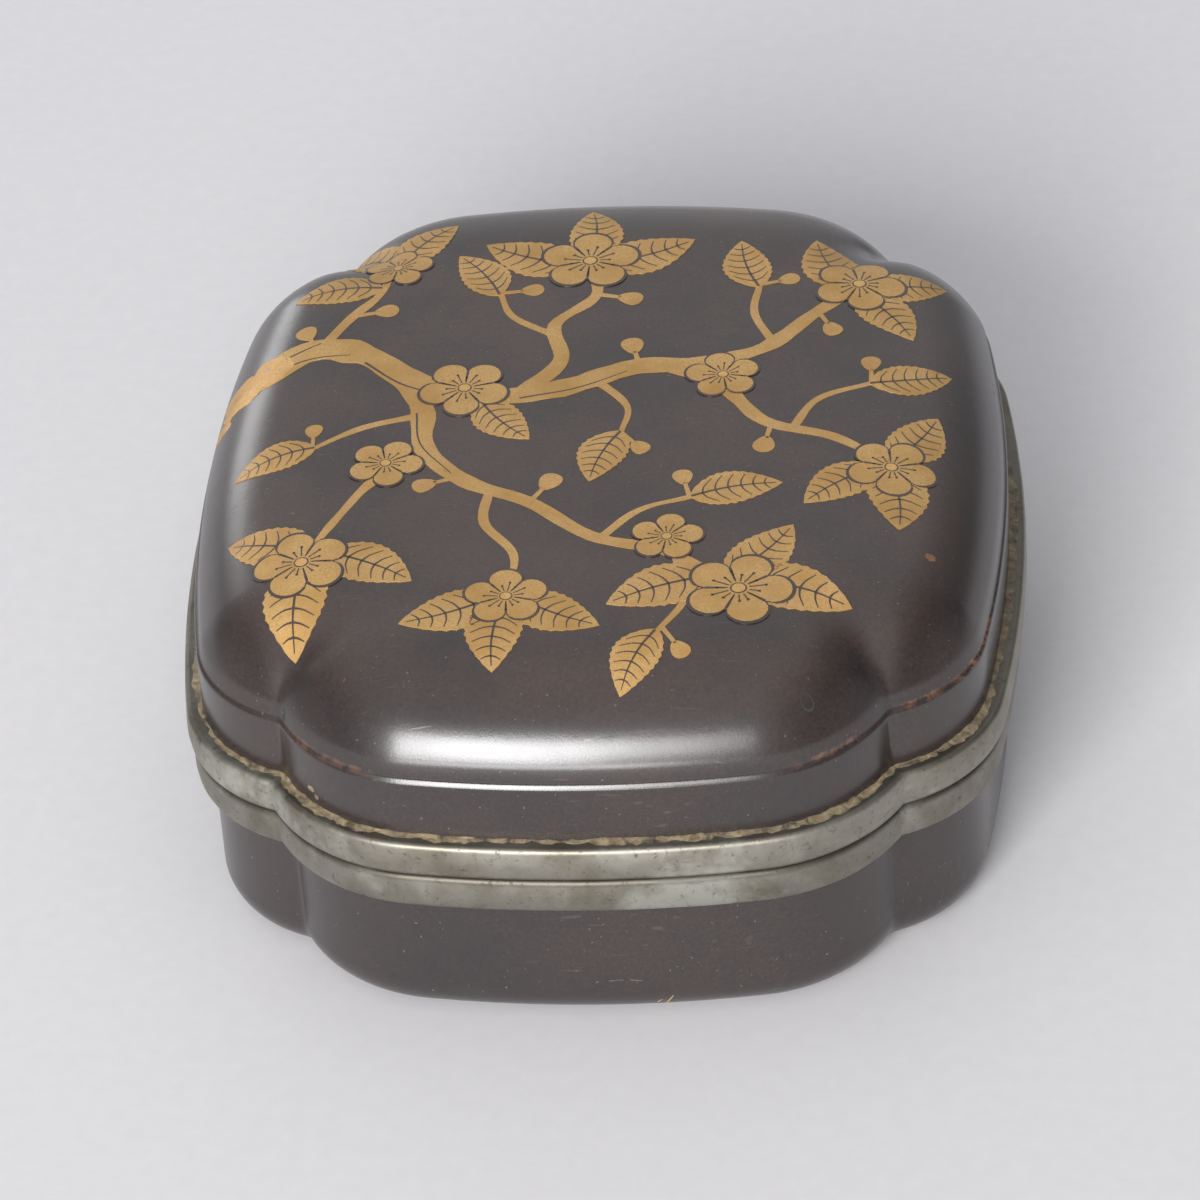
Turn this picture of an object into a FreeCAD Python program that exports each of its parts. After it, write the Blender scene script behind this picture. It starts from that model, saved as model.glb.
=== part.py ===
# A lobed lacquer writing box (ink box) with a domed lid, soft metal rims and its writing tools.
# Millimetres, +Z up. The origin is on the table, under the middle of the foot. The front lobe faces -Y.
import FreeCAD, Part
import math
import os

import Sketcher

Vector = FreeCAD.Vector

os.makedirs("parts", exist_ok=True)
doc = FreeCAD.newDocument("InkBox")
sheet = doc.addObject("Spreadsheet::Sheet", "Sizes")

# The driving dimensions: plan outline, heights, walls and rims, then the fittings inside.
# spare is how far a cutting tool runs past what it cuts.
SIZES = {
    "spare": 1.0,
    "half_width": 50.0,
    "half_depth": 58.0,
    "notch_across": 36.3,
    "notch_along": 44.8,
    "end_arc": 137.0,
    "end_corner": 20.6,
    "side_arc": 205.0,
    "side_corner": 17.5,
    "notch_round": 1.5,
    "base_height": 23.4,
    "arris_height": 36.6,
    "shoulder_round": 14.0,
    "arris_set_in": 0.5,
    "easing_slope": 16.0,
    "flat_start": 17.0,
    "wall_thick": 2.4,
    "floor_thick": 3.0,
    "base_set_in": 0.5,
    "foot_round": 5.0,
    "rim_height": 5.0,
    "rim_proud": 2.1,
    "rim_round": 2.0,
    "rim_cap": 1.0,
    "rim_rebate": 0.8,
    "seat_gap": 0.1,
    "lip_gap": 0.3,
    "lip_thick": 1.2,
    "lip_rise": 4.2,
    "fit_gap": 0.3,
    "board_half": 22.8,
    "board_height": 6.0,
    "board_floor": 1.2,
    "tray_height": 12.0,
    "tray_wall": 1.3,
    "tray_floor": 1.4,
    "tray_gap": 0.4,
    "stone_width": 40.0,
    "stone_length": 66.0,
    "stone_height": 10.5,
    "stone_round": 3.0,
    "stone_border": 3.2,
    "stone_easing": 0.5,
    "basin_round": 2.0,
    "stone_middle": -15.5,
    "land_drop": 1.6,
    "well_drop": 6.5,
    "well_rise": 1.0,
    "well_length": 13.0,
    "slope_length": 9.0,
    "dropper_size": 25.0,
    "dropper_height": 12.0,
    "dropper_round": 5.0,
    "dropper_sheet": 0.8,
    "dropper_middle": 37.0,
    "dropper_hole": 1.1,
    "vent_hole": 0.8,
    "collar_radius": 2.6,
    "collar_height": 1.2,
    "vent_place": 7.0,
    "ink_width": 9.5,
    "ink_thick": 6.6,
    "ink_length": 50.0,
    "ink_across": 37.4,
    "ink_round": 1.2,
    "ink_wear": 2.2,
    "knife_across": 28.6,
    "knife_width": 6.0,
    "knife_thick": 4.4,
    "knife_grip": 48.0,
    "knife_collar": 3.0,
    "grip_round": 1.4,
    "butt_round": 0.6,
    "collar_step": 0.3,
    "collar_round": 1.0,
    "blade_width": 4.4,
    "blade_thick": 1.0,
    "blade_length": 30.0,
    "blade_slant": 5.0,
    "blade_bevel": 1.4,
    "large_brush_across": 28.8,
    "large_brush_radius": 2.7,
    "large_brush_shaft": 58.0,
    "large_tuft_length": 20.0,
    "small_brush_across": 37.6,
    "small_brush_radius": 1.9,
    "small_brush_shaft": 44.0,
    "small_tuft_length": 12.0,
    "brush_level": 9.4,
    "brush_sleeve": 5.0,
    "knob_length": 3.0,
    "rest_thick": 3.0,
    "rest_height": 5.6,
    "rest_place": 16.0,
    "rest_gap": 0.15,
    "rest_margin": 1.0,
}
for row, (alias, number) in enumerate(SIZES.items(), start=1):
    sheet.set(f"A{row}", alias)
    sheet.set(f"B{row}", str(number))
    sheet.setAlias(f"B{row}", alias)
doc.recompute()

TINY = 0.01  # the least difference between two measures that counts
FRONT_TO_BACK = Vector(0, 1, 0)
UP = Vector(0, 0, 1)
subparts = []


def size(alias):
    return float(sheet.get(alias))


def subpart(shape_object, label):
    shape_object.Label = label
    subparts.append(shape_object)
    return shape_object


# The plan outline: two end lobes and two side lobes, each a long arc between two corner arcs,
# meeting in four small notches. Every offset of it keeps the same arc centres.

def corner_centre(arc_centre, arc_radius, corner_radius, notch):
    # The corner arc touches the long arc from inside and ends at the notch.
    to_notch = notch - arc_centre
    reach = to_notch.Length
    inner = arc_radius - corner_radius
    along = (inner ** 2 - corner_radius ** 2 + reach ** 2) / (2 * reach)
    aside = math.sqrt(inner ** 2 - along ** 2)
    direction = to_notch.normalize()
    across = Vector(direction.y, -direction.x, 0)
    choices = [arc_centre + direction * along + across * side for side in (aside, -aside)]
    return min(choices, key=lambda point: point.Length)


def crossing(first, first_radius, second, second_radius, near):
    # The point where two circles cross, the one nearer to a given point.
    between = second - first
    distance = between.Length
    along = (first_radius ** 2 - second_radius ** 2 + distance ** 2) / (2 * distance)
    aside = math.sqrt(first_radius ** 2 - along ** 2)
    direction = between.normalize()
    across = Vector(-direction.y, direction.x, 0)
    choices = [first + direction * along + across * side for side in (aside, -aside)]
    return min(choices, key=lambda point: point.distanceToPoint(near))


def on_circle(centre, radius, toward):
    return centre + (toward - centre).normalize() * radius


def arc_edge(centre, radius, start, end):
    middle = on_circle(centre, radius, (start + end) * 0.5)
    return Part.Arc(start, middle, end).toShape()


NOTCH = Vector(size("notch_across"), size("notch_along"), 0)
END_CENTRE = Vector(0, size("half_depth") - size("end_arc"), 0)
SIDE_CENTRE = Vector(size("half_width") - size("side_arc"), 0, 0)
END_CORNER = corner_centre(END_CENTRE, size("end_arc"), size("end_corner"), NOTCH)
SIDE_CORNER = corner_centre(SIDE_CENTRE, size("side_arc"), size("side_corner"), NOTCH)
NOTCH_CENTRE = crossing(
    END_CORNER,
    size("end_corner") + size("notch_round"),
    SIDE_CORNER,
    size("side_corner") + size("notch_round"),
    NOTCH * 1.2,
)


def mirrored(point, across, along):
    return Vector(point.x * across, point.y * along, 0)


def quarter_points(offset):
    # The joints of the arcs in the quarter with positive X and Y, from the back lobe to the side lobe.
    end_radius = size("end_arc") + offset
    side_radius = size("side_arc") + offset
    points = {
        "end_join": on_circle(END_CENTRE, end_radius, END_CORNER + (END_CORNER - END_CENTRE)),
        "side_join": on_circle(SIDE_CENTRE, side_radius, SIDE_CORNER + (SIDE_CORNER - SIDE_CENTRE)),
        "end_notch": on_circle(END_CORNER, size("end_corner") + offset, NOTCH_CENTRE),
        "side_notch": on_circle(SIDE_CORNER, size("side_corner") + offset, NOTCH_CENTRE),
    }
    return points


def lobed_wire(offset):
    # The whole outline, moved outward by an offset smaller than the notch radius.
    points = quarter_points(offset)
    edges = []
    for across, along in ((1, 1), (1, -1), (-1, -1), (-1, 1)):
        place = {name: mirrored(point, across, along) for name, point in points.items()}
        end_corner = mirrored(END_CORNER, across, along)
        side_corner = mirrored(SIDE_CORNER, across, along)
        notch = mirrored(NOTCH_CENTRE, across, along)
        edges.append(arc_edge(end_corner, size("end_corner") + offset, place["end_join"], place["end_notch"]))
        edges.append(arc_edge(notch, size("notch_round") - offset, place["end_notch"], place["side_notch"]))
        edges.append(arc_edge(side_corner, size("side_corner") + offset, place["side_notch"], place["side_join"]))
    for along in (1, -1):
        start = mirrored(points["end_join"], -1, along)
        end = mirrored(points["end_join"], 1, along)
        top = Vector(0, (size("half_depth") + offset) * along, 0)
        edges.append(Part.Arc(start, top, end).toShape())
    for across in (1, -1):
        start = mirrored(points["side_join"], across, -1)
        end = mirrored(points["side_join"], across, 1)
        side = Vector((size("half_width") + offset) * across, 0, 0)
        edges.append(Part.Arc(start, side, end).toShape())
    return Part.Wire(Part.__sortEdges__(edges))


def lobe_pair_wire(offset, ends):
    # Only the two end lobes, or only the two side lobes, closed by straight runs inside the others.
    points = quarter_points(offset)
    if ends:
        join = points["end_join"]
        corner = END_CORNER
        radius = size("end_corner") + offset
        side_point = corner + Vector(radius, 0, 0)
        peak = Vector(0, size("half_depth") + offset, 0)
    else:
        join = points["side_join"]
        corner = SIDE_CORNER
        radius = size("side_corner") + offset
        side_point = corner + Vector(0, radius, 0)
        peak = Vector(size("half_width") + offset, 0, 0)
    edges = []
    for across, along in ((1, 1), (1, -1), (-1, -1), (-1, 1)):
        centre = mirrored(corner, across, along)
        edges.append(arc_edge(centre, radius, mirrored(join, across, along), mirrored(side_point, across, along)))
    for sign in (1, -1):
        if ends:
            first, second = mirrored(join, -1, sign), mirrored(join, 1, sign)
            run = mirrored(side_point, sign, -1), mirrored(side_point, sign, 1)
        else:
            first, second = mirrored(join, sign, -1), mirrored(join, sign, 1)
            run = mirrored(side_point, -1, sign), mirrored(side_point, 1, sign)
        edges.append(Part.Arc(first, peak * sign, second).toShape())
        edges.append(Part.LineSegment(*run).toShape())
    return Part.Wire(Part.__sortEdges__(edges))


# Document helpers: slabs of the outline, booleans and fillets as objects of the document

def raised(shape_object, level):
    # Sets the object's height with an expression of the sheet.
    shape_object.setExpression(".Placement.Base.z", level)
    return shape_object


def slab(name, wire, low, high):
    outline = doc.addObject("Part::Feature", name + "_outline")
    outline.Shape = Part.Face(wire)
    extrusion = doc.addObject("Part::Extrusion", name)
    extrusion.Base = outline
    extrusion.DirMode = "Custom"
    extrusion.Dir = UP
    extrusion.setExpression("LengthFwd", f"({high}) - ({low})")
    return raised(extrusion, low)


def lobed_slab(name, offset, low, high):
    return slab(name, lobed_wire(offset), low, high)


def cut(name, base, tool):
    result = doc.addObject("Part::Cut", name)
    result.Base = base
    result.Tool = tool
    return result


def fuse(name, *shape_objects):
    result = doc.addObject("Part::MultiFuse", name)
    result.Shapes = list(shape_objects)
    result.Refine = True
    return result


def common(name, *shape_objects):
    result = doc.addObject("Part::MultiCommon", name)
    result.Shapes = list(shape_objects)
    return result


def rounded(name, base, radius, wanted):
    doc.recompute()
    result = doc.addObject("Part::Fillet", name)
    result.Base = base
    chosen = [number for number, edge in enumerate(base.Shape.Edges, start=1) if wanted(edge)]
    result.Edges = [(number, radius, radius) for number in chosen]
    doc.recompute()
    return result


def level_between(low, high):
    # Chooses edges whose whole run lies between two heights.
    return lambda edge: edge.BoundBox.ZMin > low and edge.BoundBox.ZMax < high


# The lid: a wall up to a crisp arris, then a round shoulder that eases into the flat middle of the top.
# Its section is turned about the centre of every arc of the outline, so the notches fade inwards.

def turn_angle(centre, point):
    return math.degrees(math.atan2(point.y - centre.y, point.x - centre.x))


def swept_band(section, hollow_side):
    # The section's x is minus the distance in from the outline. hollow_side is its mirror for the notches.
    points = quarter_points(0)
    quarter = [
        (section, END_CORNER, size("end_corner"), points["end_notch"], points["end_join"]),
        (hollow_side, NOTCH_CENTRE, size("notch_round"), points["end_notch"], points["side_notch"]),
        (section, SIDE_CORNER, size("side_corner"), points["side_join"], points["side_notch"]),
    ]
    whole = [
        (section, END_CENTRE, size("end_arc"), points["end_join"], mirrored(points["end_join"], -1, 1)),
        (section, SIDE_CENTRE, size("side_arc"), mirrored(points["side_join"], 1, -1), points["side_join"]),
    ]
    solids = []
    for group, mirrors in ((quarter, 4), (whole, 2)):
        for face, centre, radius, start, end in group:
            first = turn_angle(centre, start)
            sweep = (turn_angle(centre, end) - first) % 360
            placed = face.copy()
            placed.translate(Vector(radius, 0, 0))
            placed.rotate(Vector(0, 0, 0), UP, first)
            placed.translate(centre)
            solid = placed.revolve(centre, UP, sweep)
            solids.append(solid)
            if mirrors == 4:
                solids.append(solid.mirror(Vector(0, 0, 0), Vector(1, 0, 0)))
                solids.append(solid.mirror(Vector(0, 0, 0), FRONT_TO_BACK))
                solids.append(solids[-1].mirror(Vector(0, 0, 0), Vector(1, 0, 0)))
            else:
                solids.append(solid.rotated(Vector(0, 0, 0), UP, 180))
    return solids


def dome_arcs(depth):
    # The shoulder's and the easing's arcs, moved in by a depth, from the wall side to the middle.
    shoulder = size("shoulder_round")
    shoulder_run = shoulder - size("arris_set_in") - shoulder * math.sin(math.radians(size("easing_slope")))
    easing = (size("flat_start") - shoulder_run) / math.sin(math.radians(size("easing_slope")))
    steep = math.acos((shoulder - size("arris_set_in")) / shoulder)
    start = math.pi / 2 - steep
    if depth:
        start = math.asin((shoulder - size("arris_set_in") - depth) / (shoulder - depth))
    gentle = math.radians(size("easing_slope"))
    centre_in = shoulder - size("arris_set_in")
    centre_level = size("arris_height") - shoulder * math.sin(steep)
    low_centre_in = centre_in + (easing - shoulder) * math.sin(gentle)
    low_centre_level = centre_level - (easing - shoulder) * math.cos(gentle)

    def at(centre_x, centre_z, radius, slope):
        return Vector(-(centre_x - radius * math.sin(slope)), 0, centre_z + radius * math.cos(slope))

    shoulder_points = [
        at(centre_in, centre_level, shoulder - depth, slope) for slope in (start, (start + gentle) / 2, gentle)
    ]
    easing_points = [
        at(low_centre_in, low_centre_level, easing - depth, slope) for slope in (gentle, gentle / 2, 0)
    ]
    return shoulder_points, easing_points


def run_edges(points):
    return [Part.LineSegment(first, second).toShape() for first, second in zip(points, points[1:])]


LID_EDGE = "Sizes.base_height + Sizes.seat_gap"
edge_level = size("base_height") + size("seat_gap")
outer_shoulder, outer_easing = dome_arcs(0)
inner_shoulder, inner_easing = dome_arcs(size("wall_thick"))
wall_run = [
    Vector(-size("wall_thick"), 0, edge_level + size("rim_cap")),
    Vector(-size("rim_rebate"), 0, edge_level + size("rim_cap")),
    Vector(-size("rim_rebate"), 0, edge_level + size("rim_height")),
    Vector(0, 0, edge_level + size("rim_height")),
    outer_shoulder[0],
]
lid_edges = run_edges(wall_run)
lid_edges.append(Part.Arc(*outer_shoulder).toShape())
lid_edges.append(Part.Arc(*outer_easing).toShape())
lid_edges.extend(run_edges([outer_easing[2], inner_easing[2]]))
lid_edges.append(Part.Arc(*inner_easing).toShape())
lid_edges.append(Part.Arc(*inner_shoulder).toShape())
lid_edges.extend(run_edges([inner_shoulder[0], wall_run[0]]))
lid_section = Part.Face(Part.Wire(Part.__sortEdges__(lid_edges)))
lid_bands = swept_band(lid_section, lid_section.mirror(Vector(0, 0, 0), Vector(1, 0, 0)))
top_plate = Part.Face(lobed_wire(outer_easing[2].x))
top_plate.translate(Vector(0, 0, inner_easing[2].z))
top_plate = top_plate.extrude(UP * (outer_easing[2].z - inner_easing[2].z))
lid_shell = doc.addObject("Part::Feature", "lid_shell")
lid_shell.Shape = top_plate.multiFuse(lid_bands).removeSplitter()
subpart(lid_shell, "lid_shell")


# The rims: half round metal bands that cap the edges of lid and base and follow the notches

def rim_bead(name, offset, low, high):
    pairs = []
    for ends in (True, False):
        word = "ends" if ends else "sides"
        block = slab(f"{name}_{word}", lobe_pair_wire(offset, ends), low, high)
        doc.recompute()
        box = block.Shape.BoundBox
        flat = lambda edge, box=box: edge.BoundBox.ZLength < TINY * box.ZLength
        pairs.append(rounded(f"{name}_{word}_round", block, size("rim_round"), flat))
    return fuse(name + "_bead", *pairs)


def rim(name, wall_offset, inner_offset, low, cap_low, high):
    bead = rim_bead(name, wall_offset + size("rim_proud"), low, high)
    # The cap lies under the whole wall, the bead stands in a shallow rebate outside it.
    through = lobed_slab(name + "_inside", inner_offset, f"{low} - Sizes.spare", f"{high} + Sizes.spare")
    rebate = lobed_slab(name + "_rebate", wall_offset - size("rim_rebate"), *cap_low)
    return subpart(cut(name, bead, fuse(name + "_space", through, rebate)), name)


rim(
    "lid_rim",
    0,
    -size("wall_thick"),
    LID_EDGE,
    (f"{LID_EDGE} + Sizes.rim_cap", f"{LID_EDGE} + Sizes.rim_height + Sizes.spare"),
    f"{LID_EDGE} + Sizes.rim_height",
)
LIP_OFFSET = -size("wall_thick") - size("lip_gap")
rim(
    "base_rim",
    -size("base_set_in"),
    LIP_OFFSET,
    "Sizes.base_height - Sizes.rim_height",
    (
        "Sizes.base_height - Sizes.rim_height - Sizes.spare",
        "Sizes.base_height - Sizes.rim_cap",
    ),
    "Sizes.base_height",
)

# The base: a lobed tub with a rounded foot edge, and a thin lip that the lid slides down over

base_lower = rounded(
    "base_lower_round",
    lobed_slab("base_lower", -size("base_set_in"), "0", "Sizes.base_height - Sizes.rim_height"),
    size("foot_round"),
    level_between(-0.1, 0.1),
)
base_upper = lobed_slab(
    "base_upper",
    -size("base_set_in") - size("rim_rebate"),
    "Sizes.floor_thick",
    "Sizes.base_height - Sizes.rim_cap",
)
base_hollow = lobed_slab("base_hollow", LIP_OFFSET, "Sizes.floor_thick", "Sizes.base_height + Sizes.spare")
subpart(cut("base_shell", fuse("base_solid", base_lower, base_upper), base_hollow), "base_shell")

INSIDE_OFFSET = LIP_OFFSET - size("lip_thick")
lip_outer = lobed_slab("lip_outer", LIP_OFFSET, "Sizes.floor_thick", "Sizes.base_height + Sizes.lip_rise")
lip_inner = lobed_slab(
    "lip_inner",
    INSIDE_OFFSET,
    "Sizes.floor_thick - Sizes.spare",
    "Sizes.base_height + Sizes.lip_rise + Sizes.spare",
)
subpart(cut("base_lip", lip_outer, lip_inner), "base_lip")


# The fittings on the floor: a board between two trays, all cut to the lobed outline

def box_object(name, x_low, x_high, y_low, y_high, z_low, z_high):
    # A box whose faces are expressions of the sheet.
    block = doc.addObject("Part::Box", name)
    block.setExpression("Length", f"({x_high}) - ({x_low})")
    block.setExpression("Width", f"({y_high}) - ({y_low})")
    block.setExpression("Height", f"({z_high}) - ({z_low})")
    block.setExpression(".Placement.Base.x", x_low)
    block.setExpression(".Placement.Base.y", y_low)
    block.setExpression(".Placement.Base.z", z_low)
    return block


FITTING_OFFSET = INSIDE_OFFSET - size("fit_gap")
FAR = "Sizes.half_depth + Sizes.spare"
board_plate = common(
    "board_plate",
    lobed_slab("board_slab", FITTING_OFFSET, "Sizes.floor_thick", "Sizes.floor_thick + Sizes.board_height"),
    box_object(
        "board_band", "-Sizes.board_half", "Sizes.board_half", f"-({FAR})", FAR, "0", "Sizes.base_height"
    ),
)
stone_half_x = "Sizes.stone_width / 2 + Sizes.fit_gap"
stone_half_y = "Sizes.stone_length / 2 + Sizes.fit_gap"
dropper_half = "Sizes.dropper_size / 2 + Sizes.fit_gap"
BOARD_LEVEL = "Sizes.floor_thick + Sizes.board_floor"


def recess(name, half_x, half_y, middle, corner):
    # A sunk bed in the board, open above, with the rounded corners of what lies in it.
    block = box_object(
        name + "_block",
        f"-({half_x})",
        half_x,
        f"Sizes.{middle} - ({half_y})",
        f"Sizes.{middle} + {half_y}",
        BOARD_LEVEL,
        "Sizes.base_height",
    )
    return rounded(name, block, size(corner), lambda edge: edge.BoundBox.ZLength > size("board_height"))


stone_recess = recess("stone_recess", stone_half_x, stone_half_y, "stone_middle", "stone_round")
dropper_recess = recess("dropper_recess", dropper_half, dropper_half, "dropper_middle", "dropper_round")
subpart(cut("inkstone_board", board_plate, fuse("recesses", stone_recess, dropper_recess)), "inkstone_board")


def tray(name, sign):
    # The wall band follows the side lobe outside and stands straight beside the board.
    near = "Sizes.board_half + Sizes.tray_gap"
    low = "Sizes.floor_thick"
    high = "Sizes.floor_thick + Sizes.tray_height"

    def side_block(word, offset, straight, block_low, block_high):
        piece = lobed_slab(f"{name}_{word}_slab", offset, block_low, block_high)
        edge = "Sizes.half_width + Sizes.spare"
        limits = (straight, edge) if sign > 0 else (f"-({edge})", f"-({straight})")
        band = box_object(f"{name}_{word}_band", *limits, f"-({FAR})", FAR, "0", "Sizes.base_height")
        return common(f"{name}_{word}", piece, band)

    inner_offset = FITTING_OFFSET - size("tray_wall")
    outer = side_block("outer", FITTING_OFFSET, near, low, high)
    inner_low, inner_high = f"{low} - Sizes.spare", f"{high} + Sizes.spare"
    inner = side_block("inner", inner_offset, f"{near} + Sizes.tray_wall", inner_low, inner_high)
    subpart(cut(name + "_wall", outer, inner), name + "_wall")
    floor_piece = side_block(
        "floor", inner_offset, f"{near} + Sizes.tray_wall", low, f"{low} + Sizes.tray_floor"
    )
    subpart(floor_piece, name + "_floor")


tray("brush_tray", -1)
tray("tool_tray", 1)


# Bodies made from sketches: the sketch's measures are bound to the sheet

def new_body(name):
    return doc.addObject("PartDesign::Body", name)


def plane_of(body, role):
    return next(feature for feature in body.Origin.OriginFeatures if feature.Role == role)


def outline_sketch(body, name, plane, points):
    # A closed outline of straight edges. Each point is a pair of expressions, 0 for on the axis.
    sketch = body.newObject("Sketcher::SketchObject", name)
    sketch.AttachmentSupport = [(plane_of(body, plane), "")]
    sketch.MapMode = "FlatFace"
    numbers = [tuple(float(sheet.evalExpression(text)) for text in pair) for pair in points]
    corners = [Vector(across, along, 0) for across, along in numbers]
    count = len(corners)
    for index in range(count):
        sketch.addGeometry(Part.LineSegment(corners[index], corners[(index + 1) % count]), False)
    for index in range(count):
        sketch.addConstraint(Sketcher.Constraint("Coincident", index, 2, (index + 1) % count, 1))
    for index, pair in enumerate(points):
        for text, kind, axis in ((pair[0], "DistanceX", -2), (pair[1], "DistanceY", -1)):
            if text == "0":
                sketch.addConstraint(Sketcher.Constraint("PointOnObject", index, 1, axis))
            else:
                number = numbers[index][0 if kind == "DistanceX" else 1]
                place = sketch.addConstraint(Sketcher.Constraint(kind, -1, 1, index, 1, number))
                sketch.setExpression(f"Constraints[{place}]", text)
    return sketch


def rectangle(body, name, plane, half_across, half_along, middle_along="0"):
    low = f"{middle_along} - ({half_along})"
    high = f"{middle_along} + {half_along}"
    corners = [
        (f"-({half_across})", low),
        (half_across, low),
        (half_across, high),
        (f"-({half_across})", high),
    ]
    return outline_sketch(body, name, plane, corners)


def pad(body, name, sketch, length, midplane=False):
    feature = body.newObject("PartDesign::Pad", name)
    feature.Profile = sketch
    feature.setExpression("Length", length)
    feature.Midplane = midplane
    return feature


def pocket(body, name, sketch, length, midplane=False, reversed_cut=False):
    before = body.Shape.Volume
    feature = body.newObject("PartDesign::Pocket", name)
    feature.Profile = sketch
    feature.setExpression("Length", length)
    feature.Midplane = midplane
    feature.Reversed = reversed_cut
    doc.recompute()
    if not body.Shape.Volume < before:
        raise ValueError(f"{name} cuts nothing")
    return feature


def body_fillet(body, name, base, radius, wanted):
    doc.recompute()
    edges = [f"Edge{number}" for number, edge in enumerate(base.Shape.Edges, start=1) if wanted(edge)]
    feature = body.newObject("PartDesign::Fillet", name)
    feature.Base = (base, edges)
    feature.setExpression("Radius", radius)
    doc.recompute()
    return feature


def upright(edge):
    box = edge.BoundBox
    return box.ZLength > 10 * TINY and box.XLength < TINY and box.YLength < TINY


def set_place(shape_object, across, along, level):
    for letter, text in zip("xyz", (across, along, level)):
        shape_object.setExpression(f".Placement.Base.{letter}", text)


# The inkstone: a slate block with a raised border, a flat land and a slope down into the well

stone = new_body("inkstone")
stone_pad = pad(
    stone,
    "stone_block",
    rectangle(stone, "stone_plan", "XY_Plane", "Sizes.stone_width / 2", "Sizes.stone_length / 2"),
    "Sizes.stone_height",
)
stone_rounded = body_fillet(stone, "stone_corners", stone_pad, "Sizes.stone_round", upright)
back_wall = "Sizes.stone_length / 2 - Sizes.stone_border"
front_wall = f"-({back_wall})"
top = "Sizes.stone_height"
basin_profile = [
    (front_wall, f"{top} + Sizes.spare"),
    (front_wall, f"{top} - Sizes.land_drop"),
    (f"{back_wall} - Sizes.well_length - Sizes.slope_length", f"{top} - Sizes.land_drop"),
    (f"{back_wall} - Sizes.well_length", f"{top} - Sizes.well_drop + Sizes.well_rise"),
    (f"{back_wall} - Sizes.well_length / 2", f"{top} - Sizes.well_drop"),
    (back_wall, f"{top} - Sizes.well_drop + Sizes.well_rise / 2"),
    (back_wall, f"{top} + Sizes.spare"),
]
basin = pocket(
    stone,
    "stone_basin",
    outline_sketch(stone, "basin_section", "YZ_Plane", basin_profile),
    "Sizes.stone_width - 2 * Sizes.stone_border",
    midplane=True,
)
inner_x = size("stone_width") / 2 - size("stone_border")
basin_corner = lambda edge: upright(edge) and abs(abs(edge.BoundBox.Center.x) - inner_x) < TINY
basin_rounded = body_fillet(stone, "basin_corners", basin, "Sizes.basin_round", basin_corner)
top_edges = level_between(size("stone_height") - TINY, size("stone_height") + TINY)
body_fillet(stone, "stone_edges", basin_rounded, "Sizes.stone_easing", top_edges)
set_place(stone, "0", "Sizes.stone_middle", BOARD_LEVEL)
subpart(stone, "inkstone")

# The water dropper: a hollow rounded square of sheet metal with a pouring collar and a small vent

dropper_half_size = "Sizes.dropper_size / 2"


def dropper_piece(name, low, high):
    body = new_body(name)
    plan = rectangle(body, name + "_plan", "XY_Plane", dropper_half_size, dropper_half_size)
    block = pad(body, name + "_block", plan, f"({high}) - ({low})")
    set_place(body, "0", "Sizes.dropper_middle", f"{BOARD_LEVEL} + {low}")
    return body, block


def corner_at(distance):
    # Chooses the upright edges of a square at a distance from its middle.
    return lambda edge: upright(edge) and abs(abs(edge.BoundBox.Center.x) - distance) < TINY


outside_corner = corner_at(size("dropper_size") / 2)
inside_corner = corner_at(size("dropper_size") / 2 - size("dropper_sheet"))

dropper_base, base_plate = dropper_piece("dropper_base", "0", "Sizes.dropper_sheet")
body_fillet(dropper_base, "dropper_base_corners", base_plate, "Sizes.dropper_round", outside_corner)
subpart(dropper_base, "dropper_base")

dropper_wall, _ = dropper_piece(
    "dropper_wall", "Sizes.dropper_sheet", "Sizes.dropper_height - Sizes.dropper_sheet"
)
doc.recompute()
inner_half = "Sizes.dropper_size / 2 - Sizes.dropper_sheet"
space_plan = rectangle(dropper_wall, "wall_space_plan", "XY_Plane", inner_half, inner_half)
space = pocket(dropper_wall, "wall_space", space_plan, "Sizes.dropper_height", reversed_cut=True)
inside_round = body_fillet(
    dropper_wall, "wall_space_corners", space, "Sizes.dropper_round - Sizes.dropper_sheet", inside_corner
)
body_fillet(dropper_wall, "wall_corners", inside_round, "Sizes.dropper_round", outside_corner)
subpart(dropper_wall, "dropper_wall")

dropper_top, top_plate = dropper_piece(
    "dropper_top", "Sizes.dropper_height - Sizes.dropper_sheet", "Sizes.dropper_height"
)
body_fillet(dropper_top, "dropper_top_corners", top_plate, "Sizes.dropper_round", outside_corner)


def circle_sketch(body, name, plane, radius, across="0", along="0"):
    sketch = body.newObject("Sketcher::SketchObject", name)
    sketch.AttachmentSupport = [(plane_of(body, plane), "")]
    sketch.MapMode = "FlatFace"
    numbers = [float(sheet.evalExpression(text)) for text in (across, along, radius)]
    sketch.addGeometry(Part.Circle(Vector(numbers[0], numbers[1], 0), UP, numbers[2]), False)
    place = sketch.addConstraint(Sketcher.Constraint("Radius", 0, numbers[2]))
    sketch.setExpression(f"Constraints[{place}]", radius)
    for text, kind, axis, number in (
        (across, "DistanceX", -2, numbers[0]),
        (along, "DistanceY", -1, numbers[1]),
    ):
        if text == "0":
            sketch.addConstraint(Sketcher.Constraint("PointOnObject", 0, 3, axis))
        else:
            place = sketch.addConstraint(Sketcher.Constraint(kind, -1, 1, 0, 3, number))
            sketch.setExpression(f"Constraints[{place}]", text)
    return sketch


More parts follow.
